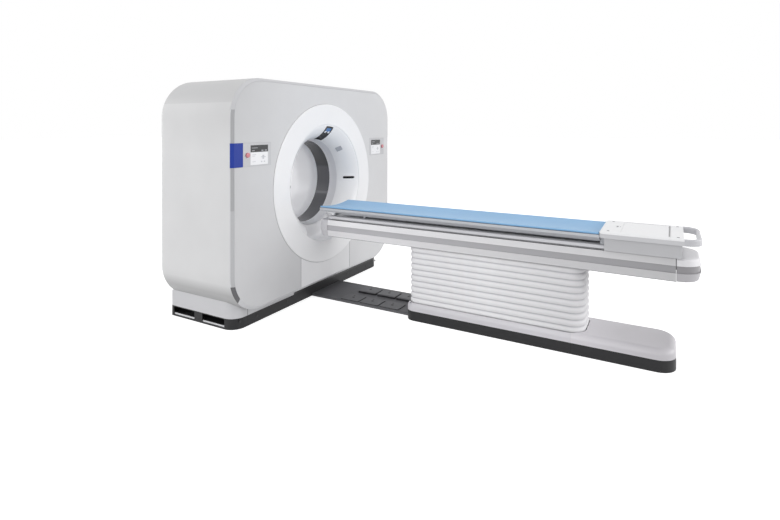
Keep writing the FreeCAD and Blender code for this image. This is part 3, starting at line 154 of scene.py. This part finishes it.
def surface(name, shade, rough=0.35, tint=0.03, grain=900, depth=0.00004, bevel=0.0015, metal=0.0,
            coat=0.0, sheen=0.0, specular=0.5):
    """Moulded or painted surface: faint patches, fine grain, uneven gloss and soft edges."""
    material = bpy.data.materials.new(name)
    material.use_nodes = True
    tree = material.node_tree
    new, link = tree.nodes.new, tree.links.new
    paint = tree.nodes["Principled BSDF"]
    where = new("ShaderNodeTexCoord").outputs["Object"]

    patches = new("ShaderNodeTexNoise")
    patches.inputs["Scale"].default_value = 2.3
    patches.inputs["Detail"].default_value = 4
    link(where, patches.inputs["Vector"])
    ramp = new("ShaderNodeValToRGB")
    dark = [part * (1 - tint) for part in shade[:3]] + [1]
    light = [min(part * (1 + tint), 1) for part in shade[:3]] + [1]
    ramp.color_ramp.elements[0].position = 0.3
    ramp.color_ramp.elements[0].color = dark
    ramp.color_ramp.elements[1].position = 0.7
    ramp.color_ramp.elements[1].color = light
    link(patches.outputs["Fac"], ramp.inputs["Fac"])
    link(ramp.outputs["Color"], paint.inputs["Base Color"])

    gloss = new("ShaderNodeTexNoise")
    gloss.inputs["Scale"].default_value = 17
    gloss.inputs["Detail"].default_value = 5
    link(where, gloss.inputs["Vector"])
    spread = new("ShaderNodeMapRange")
    spread.inputs["To Min"].default_value = max(rough - 0.06, 0.03)
    spread.inputs["To Max"].default_value = rough + 0.08
    link(gloss.outputs["Fac"], spread.inputs["Value"])
    link(spread.outputs["Result"], paint.inputs["Roughness"])

    fine = new("ShaderNodeTexNoise")
    fine.inputs["Scale"].default_value = grain
    fine.inputs["Detail"].default_value = 2
    link(where, fine.inputs["Vector"])
    bump = new("ShaderNodeBump")
    bump.inputs["Strength"].default_value = 0.35
    bump.inputs["Distance"].default_value = depth
    link(fine.outputs["Fac"], bump.inputs["Height"])
    if bevel:
        soft = new("ShaderNodeBevel")
        soft.samples = 4
        soft.inputs["Radius"].default_value = bevel
        link(soft.outputs["Normal"], bump.inputs["Normal"])
    link(bump.outputs["Normal"], paint.inputs["Normal"])

    paint.inputs["Metallic"].default_value = metal
    paint.inputs["Coat Weight"].default_value = coat
    paint.inputs["Coat Roughness"].default_value = 0.12
    paint.inputs["Sheen Weight"].default_value = sheen
    paint.inputs["Specular IOR Level"].default_value = specular
    return material


def joined(tree, operation, first, second):
    """One of the two values, or both joined where both are there."""
    if first is None:
        return second
    both = tree.nodes.new("ShaderNodeMath")
    both.operation = operation
    tree.links.new(first, both.inputs[0])
    tree.links.new(second, both.inputs[1])
    return both.outputs[0]


def paint_over(tree, share, shade, blend="MIX"):
    """Blends a colour with the surface's own by a share from 0 to 1."""
    base = tree.nodes["Principled BSDF"].inputs["Base Color"]
    mix = tree.nodes.new("ShaderNodeMixRGB")
    mix.blend_type = blend
    tree.links.new(share, mix.inputs["Fac"])
    tree.links.new(base.links[0].from_socket, mix.inputs["Color1"])
    mix.inputs["Color2"].default_value = shade
    tree.links.new(mix.outputs["Color"], base)


def places(tree):
    """The x, y and z of the shaded point."""
    parts = tree.nodes.new("ShaderNodeSeparateXYZ")
    tree.links.new(tree.nodes.new("ShaderNodeTexCoord").outputs["Object"], parts.inputs[0])
    return parts.outputs


def share_between(tree, value, clear, full):
    """Rises from 0 where the value is clear to 1 where it is full."""
    ramp = tree.nodes.new("ShaderNodeMapRange")
    ramp.inputs["From Min"].default_value = clear
    ramp.inputs["From Max"].default_value = full
    tree.links.new(value, ramp.inputs["Value"])
    return ramp.outputs["Result"]


def tinted(material, shade, *boxes):
    """Paints the surface another colour inside boxes, each given by its limits along x, y or z."""
    tree = material.node_tree
    where = places(tree)
    painted = None
    for box in boxes:
        inside = None
        for axis, (low, high) in box.items():
            test = tree.nodes.new("ShaderNodeMath")
            test.operation = "COMPARE"
            tree.links.new(where[axis], test.inputs[0])
            test.inputs[1].default_value = (low + high) / 2
            test.inputs[2].default_value = (high - low) / 2
            inside = joined(tree, "MULTIPLY", inside, test.outputs[0])
        painted = joined(tree, "MAXIMUM", painted, inside)
    paint_over(tree, painted, shade)


def faded(material, factor, *ramps):
    """Darkens the surface by the factor, fully where each axis has passed from clear to full."""
    tree = material.node_tree
    where = places(tree)
    share = None
    for axis, clear, full in ramps:
        share = joined(tree, "MULTIPLY", share, share_between(tree, where[axis], clear, full))
    paint_over(tree, share, (factor, factor, factor, 1), "MULTIPLY")


def dress(material, *names):
    """Gives nodes of the frame one material."""
    for name in names:
        mesh = nodes[name].data
        mesh.materials.clear()
        mesh.materials.append(material)


def dress_covers():
    """Pale covers that darken towards their corners by painted shade, with painted shade on the
    trim and seams where the parts meet.
    """
    side = surface("cover_side", colour(223, 223, 223), 0.42)
    roof, shoulder, foot = (1.675, 2), (1.3, 1.62), (0.365, 0.28)
    # painted shade: the roof arc is darker above a crisp line, the shoulder darkens upwards and
    # the lower arc darkens into the shade under the covers
    tinted(side, colour(215, 215, 215), {"Z": roof})
    faded(side, 0.865, ("Z", *shoulder))
    faded(side, 0.66, ("Z", *foot))
    dress(side, "shell_left", "shell_right")
    dress(surface("cover_rear", colour(223, 223, 223), 0.42), "rear_cover")
    front = surface("cover_front", colour(222, 222, 223), 0.4)
    to_left, to_top = (-0.3, -1.1), (0.4, 1.7)
    # painted shade, darker towards the upper left corner
    faded(front, 0.83, ("X", *to_left), ("Z", *to_top))
    dress(front, "front_cover")
    panel = surface("lower_panel", colour(250, 250, 251), 0.38)
    to_right = (-0.15, 0.25)
    # painted shade, darker towards the right
    faded(panel, 0.88, ("X", *to_right))
    left_seam, right_seam = (-0.3655, -0.361), (0.358, 0.3655)
    tinted(panel, colour(160, 160, 162), {"X": left_seam}, {"X": right_seam})
    dress(panel, "lower_panel")
    trim = surface("trim", colour(222, 222, 224), 0.4)
    edge = {"X": (-1.2, -1.06), "Y": (-0.32, -0.293)}
    arc_top, middle, side_top = 0.36, 0.9, 1.62
    # painted shade on the trim: grey down its left edge, dark on its lower arc and greyer over the
    # roof arc
    tinted(trim, colour(174, 174, 176), {**edge, "Z": (middle, side_top)})
    tinted(trim, colour(192, 192, 194), {**edge, "Z": (arc_top, middle)})
    tinted(trim, colour(100, 100, 102), {"X": (-1.2, -1.045), "Z": (0.1, arc_top)})
    tinted(trim, colour(204, 204, 206), {"Z": (side_top, 2)})
    dress(trim, "front_trim")


def dress_bore():
    """White surround and a dark window, with painted reflections in it: a lighter band low down
    and a darker top.
    """
    dress(surface("surround", colour(251, 251, 252), 0.3, coat=0.2), "front_ring")
    dress(surface("collar", colour(230, 230, 233), 0.35), "bore_collar")
    glass = surface("scan_glass", colour(94, 94, 98), 0.22, specular=0.3)
    painted_reflection_band, to_top = (0.842, 0.864), (1.095, 1.125)
    # painted reflection: a lighter band low in the window
    tinted(glass, colour(112, 112, 117), {"Z": painted_reflection_band})
    # painted reflection, darker towards the top
    faded(glass, 0.55, ("Z", *to_top))
    dress(glass, "scan_window")


def dress_base():
    """Dark plinths and a pale skirt, cut by joints, with painted shade of a recess low on the
    skirt's front.
    """
    plinth_shade = colour(29, 29, 31)
    plinth = surface("plinth", plinth_shade, 0.5, grain=600, depth=0.0001, specular=0.35)
    joints = [{"X": (-0.894, -0.888)}, {"X": (0.888, 0.894)}]
    table_joint = {"Y": (-2.434, -2.428)}
    recess = {"X": (-0.36, 0.99), "Y": (-0.3, -0.2), "Z": (0.07, 0.115)}
    tinted(plinth, colour(14, 14, 15), *joints, table_joint)
    dress(plinth, "plinth_left", "plinth_right", "plinth_front", "plinth_rear", "table_plinth")
    skirt = surface("skirt", colour(211, 211, 213), 0.4)
    tinted(skirt, colour(138, 138, 140), *joints)
    # painted shade: a band low on the skirt's front takes the plinth's dark colour, as the shade
    # of a recess under the cover
    tinted(skirt, plinth_shade, recess)
    dress(skirt, "skirt_left", "skirt_right", "skirt_front", "skirt_rear")


def dress_screens():
    """Pale screens with a dark bar along the top and generic marks.

    A mark is given by its left and right from the screen's middle, and by its height's limits.
    """
    screen = surface("screen", colour(250, 250, 252), 0.18, coat=0.3)
    middles, bar = (-0.849, 0.85), (1.309, 1.362)
    tinted(screen, colour(46, 47, 50), {"Z": bar})
    bar_marks = [(-0.078, -0.02, 1.338, 1.343), (-0.078, -0.05, 1.318, 1.323),
                 (0.02, 0.042, 1.316, 1.324), (0.055, 0.08, 1.316, 1.324)]
    pale_marks = [(-0.075, -0.035, 1.288, 1.292), (-0.075, -0.045, 1.278, 1.282),
                  (-0.075, -0.04, 1.236, 1.24), (0.03, 0.05, 1.255, 1.285),
                  (0.015, 0.065, 1.268, 1.274), (0.015, 0.03, 1.232, 1.24),
                  (0.045, 0.06, 1.232, 1.24)]
    for middle in middles:
        for shade, marks in ((colour(170, 171, 175), bar_marks),
                             (colour(212, 213, 217), pale_marks)):
            tinted(screen, shade, *[{"X": (middle + left, middle + right), "Z": (low, high)}
                                    for left, right, low, high in marks])
    dress(screen, "screens")


def dress_controls():
    """Consoles, emergency stops, the blank plate, the lit display and the dark slots."""
    dress(surface("console", colour(206, 206, 208), 0.4), "console_left", "console_right")
    dress(surface("stop", colour(216, 130, 138), 0.3, coat=0.4), "estop_left", "estop_right")
    dress(surface("plate", colour(34, 60, 156), 0.38, specular=0.3), "label_plate")
    display = surface("display", colour(26, 28, 32), 0.25, specular=0.3)
    picture = {"X": (0.018, 0.082), "Y": (-0.3, -0.274)}
    row = (-0.278, -0.264)
    buttons = [{"X": (0.014, 0.04), "Y": row}, {"X": (0.06, 0.086), "Y": row}]
    tinted(display, colour(66, 122, 184), picture)
    tinted(display, colour(244, 248, 255), *buttons)
    dress(display, "bore_display")
    dress(surface("slot", colour(14, 14, 16), 0.3, specular=0.2), "laser_windows")
    dress(surface("lens", colour(190, 192, 198), 0.2, coat=0.4), "camera_window")


def dress_inner_parts():
    """Metal and plain housings, out of sight but for the frame's foot in the plinth's sides, whose
    pale edge is partly painted light and which has painted shade above it.
    """
    casting = surface("casting", colour(120, 124, 130), 0.55, grain=300, depth=0.0003)
    foot_edge, foot = (-0.01, 0.024), (0.024, 0.13)
    # pale edge of the base plate: partly its own pale paint, partly painted light where it shows
    # in the plinth's openings
    tinted(casting, colour(236, 236, 238), {"Z": foot_edge})
    # painted shade: dark in the openings above the pale edge
    tinted(casting, colour(22, 22, 24), {"Z": foot})
    dress(casting, "stator_frame")
    dress(surface("steel", colour(176, 178, 182), 0.3, metal=1.0),
          "bearing_outer", "motor_pulley", "cradle_rollers")
    dress(surface("alloy", colour(190, 191, 194), 0.38, metal=1.0), "rotor_drum", "detector_arc")
    dress(surface("tracks", colour(190, 160, 96), 0.3, metal=1.0), "slip_ring")
    dress(surface("units", colour(128, 134, 140), 0.45),
          "xray_tube", "voltage_tank", "counterweight", "collimator")
    dress(surface("motors", colour(70, 73, 78), 0.5),
          "drive_motor", "lift_gearmotor", "cradle_drive")
    dress(surface("belt", colour(36, 36, 37), 0.75, grain=400, depth=0.0002), "drive_belt")


def dress_table_base():
    """Dark duct, whose caps have painted shade on their sides, and pale covers over a dark frame
    and arms, the hood with painted shade towards the foot end.
    """
    dress(surface("duct", colour(98, 98, 101), 0.55, grain=500, depth=0.0001), "floor_duct")
    caps = surface("caps", colour(100, 100, 103), 0.5, grain=500, depth=0.0001)
    sides = [{"X": (0.1, 0.26), "Z": (0.019, 0.034)}, {"X": (-0.12, 0.06), "Z": (0.019, 0.0254)}]
    # painted shade on the sides of the raised caps
    tinted(caps, colour(34, 34, 36), *sides)
    dress(caps, "duct_caps")
    dress(surface("table_cover", colour(226, 224, 228), 0.38), "table_cover")
    hood = surface("table_hood", colour(238, 235, 239), 0.38)
    to_foot_end = (-2.3, -3.1)
    # painted shade, darker towards the foot end
    faded(hood, 0.68, ("Y", *to_foot_end))
    dress(hood, "table_hood")
    dress(surface("base_frame", colour(72, 74, 78), 0.5), "table_frame")
    dress(surface("arms", colour(92, 95, 99), 0.45), "scissor_lower", "scissor_upper")


def dress_beam():
    """Pale beam with a grey stripe, painted shade along its bottom edge and towards the foot end,
    and a joint that is dark above with a painted highlight below.
    """
    bottom, joint_middle = 0.56, 0.64
    stripe_low, stripe_high = 0.619, 0.663
    stripe = {"Z": (stripe_low, stripe_high)}
    beam = surface("beam", colour(252, 251, 253), 0.38)
    tinted(beam, colour(199, 198, 201), stripe)
    # painted shade along the beam's bottom edge
    tinted(beam, colour(165, 164, 167), {"Z": (bottom, 0.5685)})
    joint, to_foot_end = (-3.039, -3.0335), (-1, -3)
    tinted(beam, colour(96, 96, 99), {"Y": joint, "Z": (joint_middle, 0.71)})
    # painted shade, darker towards the foot end
    faded(beam, 0.66, ("Y", *to_foot_end))
    # painted highlight: the joint's lower part stays pale over the painted shade
    tinted(beam, colour(250, 250, 250), {"Y": joint, "Z": (bottom, joint_middle)})
    dress(beam, "beam_cover")
    dress(surface("nose", colour(220, 219, 222), 0.38), "beam_nose")
    cap = surface("beam_cap", colour(236, 235, 237), 0.38)
    tinted(cap, colour(154, 152, 155), stripe)
    # painted shade on the end cap's lower band
    tinted(cap, colour(196, 194, 197), {"Z": (bottom, stripe_low)})
    dress(cap, "beam_end_cap")
    lift = surface("frame", colour(70, 72, 76), 0.5)
    rails = {"Z": (0.7, 0.75)}
    tinted(lift, colour(222, 222, 225), rails)
    dress(lift, "lift_frame")


def dress_cradle():
    """Grey cradle, and a white block at its foot with painted shade on its sides and fine seams in
    its lid.
    """
    dress(surface("cradle", colour(206, 208, 212), 0.35), "cradle")
    block = surface("block", colour(252, 252, 253), 0.32)
    sides, rim = (0.7, 0.793), (0.793, 0.82)
    # painted shade: the block's sides and the rim under its top edge are greyer than its lit top
    tinted(block, colour(200, 200, 202), {"Z": sides})
    tinted(block, colour(214, 214, 216), {"Z": rim})
    dress(block, "foot_block")
    lid = surface("lid", colour(253, 253, 254), 0.32)
    end_seam, side_seam = {"Y": (-3.002, -2.9955)}, {"X": (0.1862, 0.1895)}
    tinted(lid, colour(112, 112, 115), end_seam, side_seam)
    dress(lid, "block_lid")
    dress(surface("handle", colour(208, 208, 211), 0.35), "handle")


# ------------------------------------------------------------------------- geometry

def add_piece(name, points, faces, material, body):
    """A new smooth mesh object that moves with one body of the frame."""
    mesh = bpy.data.meshes.new(name)
    mesh.from_pydata(points, [], faces)
    mesh.materials.append(material)
    mesh.shade_smooth()
    piece = show(bpy.data.objects.new(name, mesh))
    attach(piece, body)
    return piece


def rounded_outline(low, high, back, front):
    """Points round a rectangle, each with its outward direction.

    Its corners are rounded by the radius at the back (high y) and by the one at the front (low y).
    """
    steps, spacing = 10, 0.04
    middles = [(high.x - back, high.y - back, back), (low.x + back, high.y - back, back),
               (low.x + front, low.y + front, front), (high.x - front, low.y + front, front)]
    outline = []
    for index, (across, along, corner) in enumerate(middles):
        for step in range(steps + 1):
            angle = math.radians(90 * (index + step / steps))
            away = Vector((math.cos(angle), math.sin(angle)))
            outline.append((Vector((across, along)) + away * corner, away))
        start = outline[-1][0]
        following = middles[(index + 1) % 4]
        run = Vector(following[:2]) + away * following[2] - start
        count = max(int(run.length / spacing), 1)
        outline += [(start + run * step / count, away) for step in range(1, count)]
    return outline


def skin(rows, count):
    """Quads between closed rows of points that are laid one after another."""
    return [(row * count + step, row * count + (step + 1) % count,
             (row + 1) * count + (step + 1) % count, (row + 1) * count + step)
            for row in range(rows - 1) for step in range(count)]


def lathe(profile, start, count):
    """Points and faces of a closed (radius, y) profile turned round the bore's axis."""
    points = []
    for step in range(count):
        angle = math.radians(360 * step / count)
        points += [(radius * math.sin(angle), start + along, ISO + radius * math.cos(angle))
                   for radius, along in profile]
    size = len(profile)
    faces = []
    for step in range(count):
        here, there = step * size, (step + 1) % count * size
        for index in range(size):
            after = (index + 1) % size
            faces.append((here + index, there + index, there + after, here + after))
    return points, faces


def plug(points, faces, centre, up, radius, height):
    """Adds a low round plug with a domed edge to the mesh."""
    count = 20
    up = Vector(up).normalized()
    side = up.orthogonal().normalized()
    other = up.cross(side)
    rows = ((1, 0), (1, 0.55), (0.93, 0.85), (0.8, 1))  # shares of the radius and the height
    first = len(points)
    for share, level in rows:
        for step in range(count):
            angle = 2 * math.pi * step / count
            away = side * math.cos(angle) + other * math.sin(angle)
            points.append(Vector(centre) + away * radius * share + up * height * level)
    faces += [[first + index for index in quad] for quad in skin(len(rows), count)]
    last = first + (len(rows) - 1) * count
    faces.append(tuple(range(last, last + count)))


def add_plugs(name, material, body, slot, *plugs):
    """One piece made of round plugs, each given by its centre, direction, radius and height."""
    points, faces = [], []
    for centre, up, radius, height in plugs:
        plug(points, faces, centre, up, radius, height)
    add_piece(name, points, faces, material, body)


# ------------------------------------------------------------------- gantry details

WINDOW_START = -0.0655
WINDOW_END = 0.0845
THROAT = 0.37
FUNNEL_START = 0.3
FUNNEL_END = 0.486
REAR_MOUTH = 0.44
STOP_REACH = 0.975
STOP_HEIGHT = 1.29


def make_rear_surround():
    """Rear surround with its funnel, rolled into a soft lip at the opening."""
    steps = 12
    rise = REAR_MOUTH - THROAT
    depth = FUNNEL_END - FUNNEL_START
    bend = (depth * depth + rise * rise) / (rise * 2)
    funnel = []
    for step in range(steps + 1):
        along = depth * step / steps
        funnel.append((THROAT + bend - math.sqrt(bend * bend - along * along),
                       FUNNEL_START + along))
    lip = [(REAR_MOUTH + 0.005, 0.4925), (REAR_MOUTH + 0.011, 0.4962), (REAR_MOUTH + 0.019, 0.498)]
    rim = [(0.634, 0.498), (0.638, 0.4965), (0.64, 0.492), (0.64, 0.482)]
    back = [(0.47, 0.482), (0.4, 0.4), (0.378, FUNNEL_START), (0.378, WINDOW_END)]
    profile = [(THROAT, WINDOW_END), (THROAT, WINDOW_END + 0.1), *funnel, *lip, *rim, *back]
    points, faces = lathe(profile, 0, 160)
    material = surface("rear_surround", colour(250, 250, 252), 0.3, coat=0.2)
    piece = add_piece("rear_surround", points, faces, material, "gantry_and_base")
    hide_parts("rear_ring")


def make_window_highlight_rims():
    """Thin pale rings on both edges of the dark window round the bore, as painted highlights of
    the collar's edges.
    """
    # painted highlight: pale rings stand for the light caught by the collar's edges
    material = surface("rim", colour(236, 236, 238), 0.3)
    outer, middle, inner = 0.3722, 0.3712, 0.3702
    edge, top = 0.0022, 0.003
    ring = [(outer, edge), (middle, top), (inner, edge),
            (inner, -edge), (middle, -top), (outer, -edge)]
    for name, start in (("window_rim_highlight_front", WINDOW_START), ("window_rim_highlight_rear", WINDOW_END)):
        points, faces = lathe(ring, start, 144)
        add_piece(name, points, faces, material, "gantry_and_base")


def make_gantry_details():
    """Joint line round the bore's surround, which also stands for the thin shadow the surround
    casts on the cover, plugs in the plinth and collars of the stops.
    """
    # partly the joint, partly a painted shadow of the surround on the cover
    line = surface("joint_and_shadow_line", colour(188, 188, 191), 0.5)
    low, high = FRONT - 0.0001, FRONT - 0.0006
    inner, outer = 0.7003, 0.7028
    points, faces = lathe([(inner, low), (inner, high), (outer, high), (outer, low)], 0, 180)
    add_piece("surround_joint_and_shadow", points, faces, line, "gantry_and_base")

    dark = surface("small_dark", colour(16, 16, 18), 0.5)
    plinth_face, radius, height = -0.2302, 0.011, 0.0015
    add_plugs("plinth_plugs", dark, "gantry_and_base", "plinth_dark",
              *[((x, plinth_face, z), (0, -1, 0), radius, height)
                for x, z in ((-0.967, 0.06), (-0.793, 0.043), (-0.447, 0.053), (0.447, 0.053),
                             (0.793, 0.043), (0.967, 0.06))])

    light = surface("stop_collar", colour(222, 222, 225), 0.4)
    rows = ((0.0245, 0), (0.0245, -0.001), (0.0235, -0.002),
            (0.0195, -0.002), (0.0185, -0.001), (0.0185, 0))
    count = 32
    for name, x in (("collar_of_left_stop", -STOP_REACH), ("collar_of_right_stop", STOP_REACH)):
        points = []
        for radius, along in rows:
            for step in range(count):
                angle = 2 * math.pi * step / count
                points.append((x + radius * math.cos(angle), FRONT + along,
                               STOP_HEIGHT + radius * math.sin(angle)))
        add_piece(name, points, skin(len(rows), count), light, "gantry_and_base")


# -------------------------------------------------------------------- table details

def make_table_details():
    """Screws on the duct's caps and the foot block, and a plug on the table's base."""
    up = (0, 0, 1)
    dark = surface("cap_marks", colour(44, 44, 46), 0.6)
    duct_end, pitch, caps_in_row = -1.199, 0.192, 3
    thin, sunk = 0.0008, 0.0035
    marks = []
    for middle, reach, top in ((-0.038, 0.58, 0.028), (0.178, 0.539, 0.04)):
        for index in range(caps_in_row):
            centre = duct_end + reach - pitch * index
            marks += [((middle, centre, top - sunk), up, 0.0066, 0.003),
                      ((middle, centre, top - thin / 2), up, 0.012, thin),
                      ((middle + 0.036, centre + 0.012, top - thin / 2), up, 0.007, thin)]
    add_plugs("cap_screws", dark, "gantry_and_base", "duct_grey", *marks)
    add_plugs("base_plug", dark, "gantry_and_base", "duct_grey",
              ((-0.182, -1.243, 0.1339), up, 0.007, thin))
    grey = surface("block_screw", colour(118, 118, 122), 0.4)
    block_top, height = 0.8327, 0.0012
    add_plugs("block_screws", grey, "cradle_unit", "block_white",
              *[((x, y, block_top), up, radius, height)
                for x, y, radius in ((-0.179, -2.657, 0.009), (0.179, -2.657, 0.009),
                                     (-0.186, -3.046, 0.009), (0.186, -3.046, 0.009),
                                     (-0.012, -2.697, 0.007), (0.012, -2.697, 0.007),
                                     (0.0, -2.715, 0.004))])


# -------------------------------------------------------------- bellows of the lift

PLEATS = 10
FOLD = 0.014  # depth of a valley
FULLNESS = 0.6  # below 1 the pleats are fuller than a sine
UNEVEN = 0.0012
SLACK = 0.0016
GANTRY_CORNER = 0.06
FOOT_CORNER = 0.095
FIXED_END = 0.124


def paint_shade_in_folds(material, shade):
    """Paints shade into the bottoms of the folds, which the mesh carries as its own values."""
    tree = material.node_tree
    fold = tree.nodes.new("ShaderNodeAttribute")
    fold.attribute_name = "fold"
    paint_over(tree, share_between(tree, fold.outputs["Fac"], 0.75, 0.1), shade)


def make_bellows():
    """Coated fabric in rounded pleats with tight valleys and slightly uneven folds, with painted
    shade in the valleys and towards the foot end.
    """
    low, high = [Vector(corner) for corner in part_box("bellows")]
    outline = rounded_outline(low, high, GANTRY_CORNER, FOOT_CORNER)
    steps = 10
    rows = PLEATS * steps + 1
    points = []
    bulges = []
    for row in range(rows):
        bulge = math.sin(math.pi * (row / steps % 1)) ** FULLNESS
        bulges += [bulge] * len(outline)
        height = low.z + (high.z - low.z) * row / (rows - 1)
        for place, away in outline:
            where = Vector((place.x, place.y, height))
            uneven = UNEVEN * noise.noise(where * Vector((7, 7, 16)))
            place = place - away * max(FOLD * (1 - bulge) + uneven, 0)
            sag = SLACK * noise.noise(where * 5) * bulge
            points.append((place.x, place.y, height + sag))
    cloth = surface("bellows_fabric", colour(254, 253, 255), 0.55, tint=0.015, grain=1400,
                    depth=0.0001, sheen=0.15, bevel=0)
    # painted shade in the valleys of the folds
    paint_shade_in_folds(cloth, colour(214, 213, 217))
    # painted shade, darker towards the foot end
    faded(cloth, 0.86, ("Y", -1.85, -2.4))
    piece = add_piece("bellows_cloth", points, skin(rows, len(outline)), cloth, "gantry_and_base")
    piece.data.attributes.new("fold", "FLOAT", "POINT").data.foreach_set("value", bulges)
    height = high.z - FIXED_END
    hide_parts("bellows")
    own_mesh(piece)


# ------------------------------------------------------------------------- mattress

SAG = 0.02  # how far the middle lies below the edges
MARGIN = 0.0015  # room left beside the pad
SWELL = 0.002  # room left for the cloth to swell


def swell(piece, pressure, limit):
    """Blows the piece up a little as cloth, and moves no point further than the limit."""
    scene = bpy.context.scene
    frames = 20
    cloth = piece.modifiers.new("swell", "CLOTH")
    cloth.settings.use_pressure = True
    cloth.settings.uniform_pressure_force = pressure
    cloth.settings.effector_weights.gravity = 0
    for step in range(1, frames + 1):
        scene.frame_set(step)
    swollen = piece.evaluated_get(bpy.context.evaluated_depsgraph_get()).data
    moves = [after.co - before.co
             for before, after in zip(piece.data.vertices, swollen.vertices)]
    piece.modifiers.remove(cloth)
    scene.frame_set(1)
    for point, move in zip(piece.data.vertices, moves):
        if move.length > limit:
            move = move * (limit / move.length)
        point.co += move


def subdivide(piece):
    """Smooths the mesh once and keeps the result as plain faces."""
    smoother = piece.modifiers.new("smooth", "SUBSURF")
    smoother.levels = 1
    smooth = piece.evaluated_get(bpy.context.evaluated_depsgraph_get())
    mesh = bpy.data.meshes.new_from_object(smooth)
    piece.modifiers.remove(smoother)
    piece.data = mesh


def make_mattress():
    """Thin pad of coated foam in the hollow of the cradle."""
    low, high = [Vector(corner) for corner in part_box("mattress")]
    half = (high.x - low.x) / 2 - MARGIN
    thick = high.z - low.z - SAG
    across, along = 34, 190
    row = []
    for step in range(across + 1):
        row.append((-half + 2 * half * step / across, 1))
    row.append((half + MARGIN, 0))
    row += [(x, -1) for x, side in row[across::-1]]
    row.append((-half - MARGIN, 0))
    points = []
    for step in range(along + 1):
        y = low.y + MARGIN + (high.y - low.y - 2 * MARGIN) * step / along
        for x, side in row:
            middle = high.z - thick / 2 - SAG * (1 - min(abs(x) / half, 1) ** 2)
            points.append((x, y, middle + side * (thick / 2 - SWELL)))
    faces = skin(along + 1, len(row))
    last = 2 * across + 2
    for first in (0, along * len(row)):
        faces += [(first + step, first + step + 1, first + last - step - 1, first + last - step)
                  for step in range(across)]
        faces += [(first + across, first + across + 1, first + across + 2),
                  (first + last, first + last + 1, first)]
    foam = surface("pad_cover", colour(144, 193, 234), 0.5, tint=0.02, grain=1800, depth=0.00008,
                   bevel=0, sheen=0.1)
    piece = add_piece("mattress_pad", points, faces, foam, "cradle_unit")
    swell(piece, pressure=4, limit=SWELL)
    subdivide(piece)
    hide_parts("mattress")


add_camera()
add_world()
add_floor()
add_area("key", place=(-12, 0.5, 4.2), target=(0, 0, 0.8), width=7, height=7, power=400)
add_area("front", place=(3.5, -15, 4.2), target=(0, -0.5, 1), width=14, height=6, power=965)
add_area("top", place=(0.5, -1, 10), target=(0, -1.5, 0), width=8, height=8, power=130)
add_area("back", place=(-3.5, 6, 3), target=(0.2, 0.3, 1), width=4, height=4, power=110)
dress_covers()
dress_bore()
dress_base()
dress_controls()
dress_screens()
dress_inner_parts()
dress_table_base()
dress_beam()
dress_cradle()
make_rear_surround()
make_window_highlight_rims()
make_gantry_details()
make_table_details()
make_bellows()
make_mattress()
bpy.context.scene.view_settings.view_transform = "Standard"
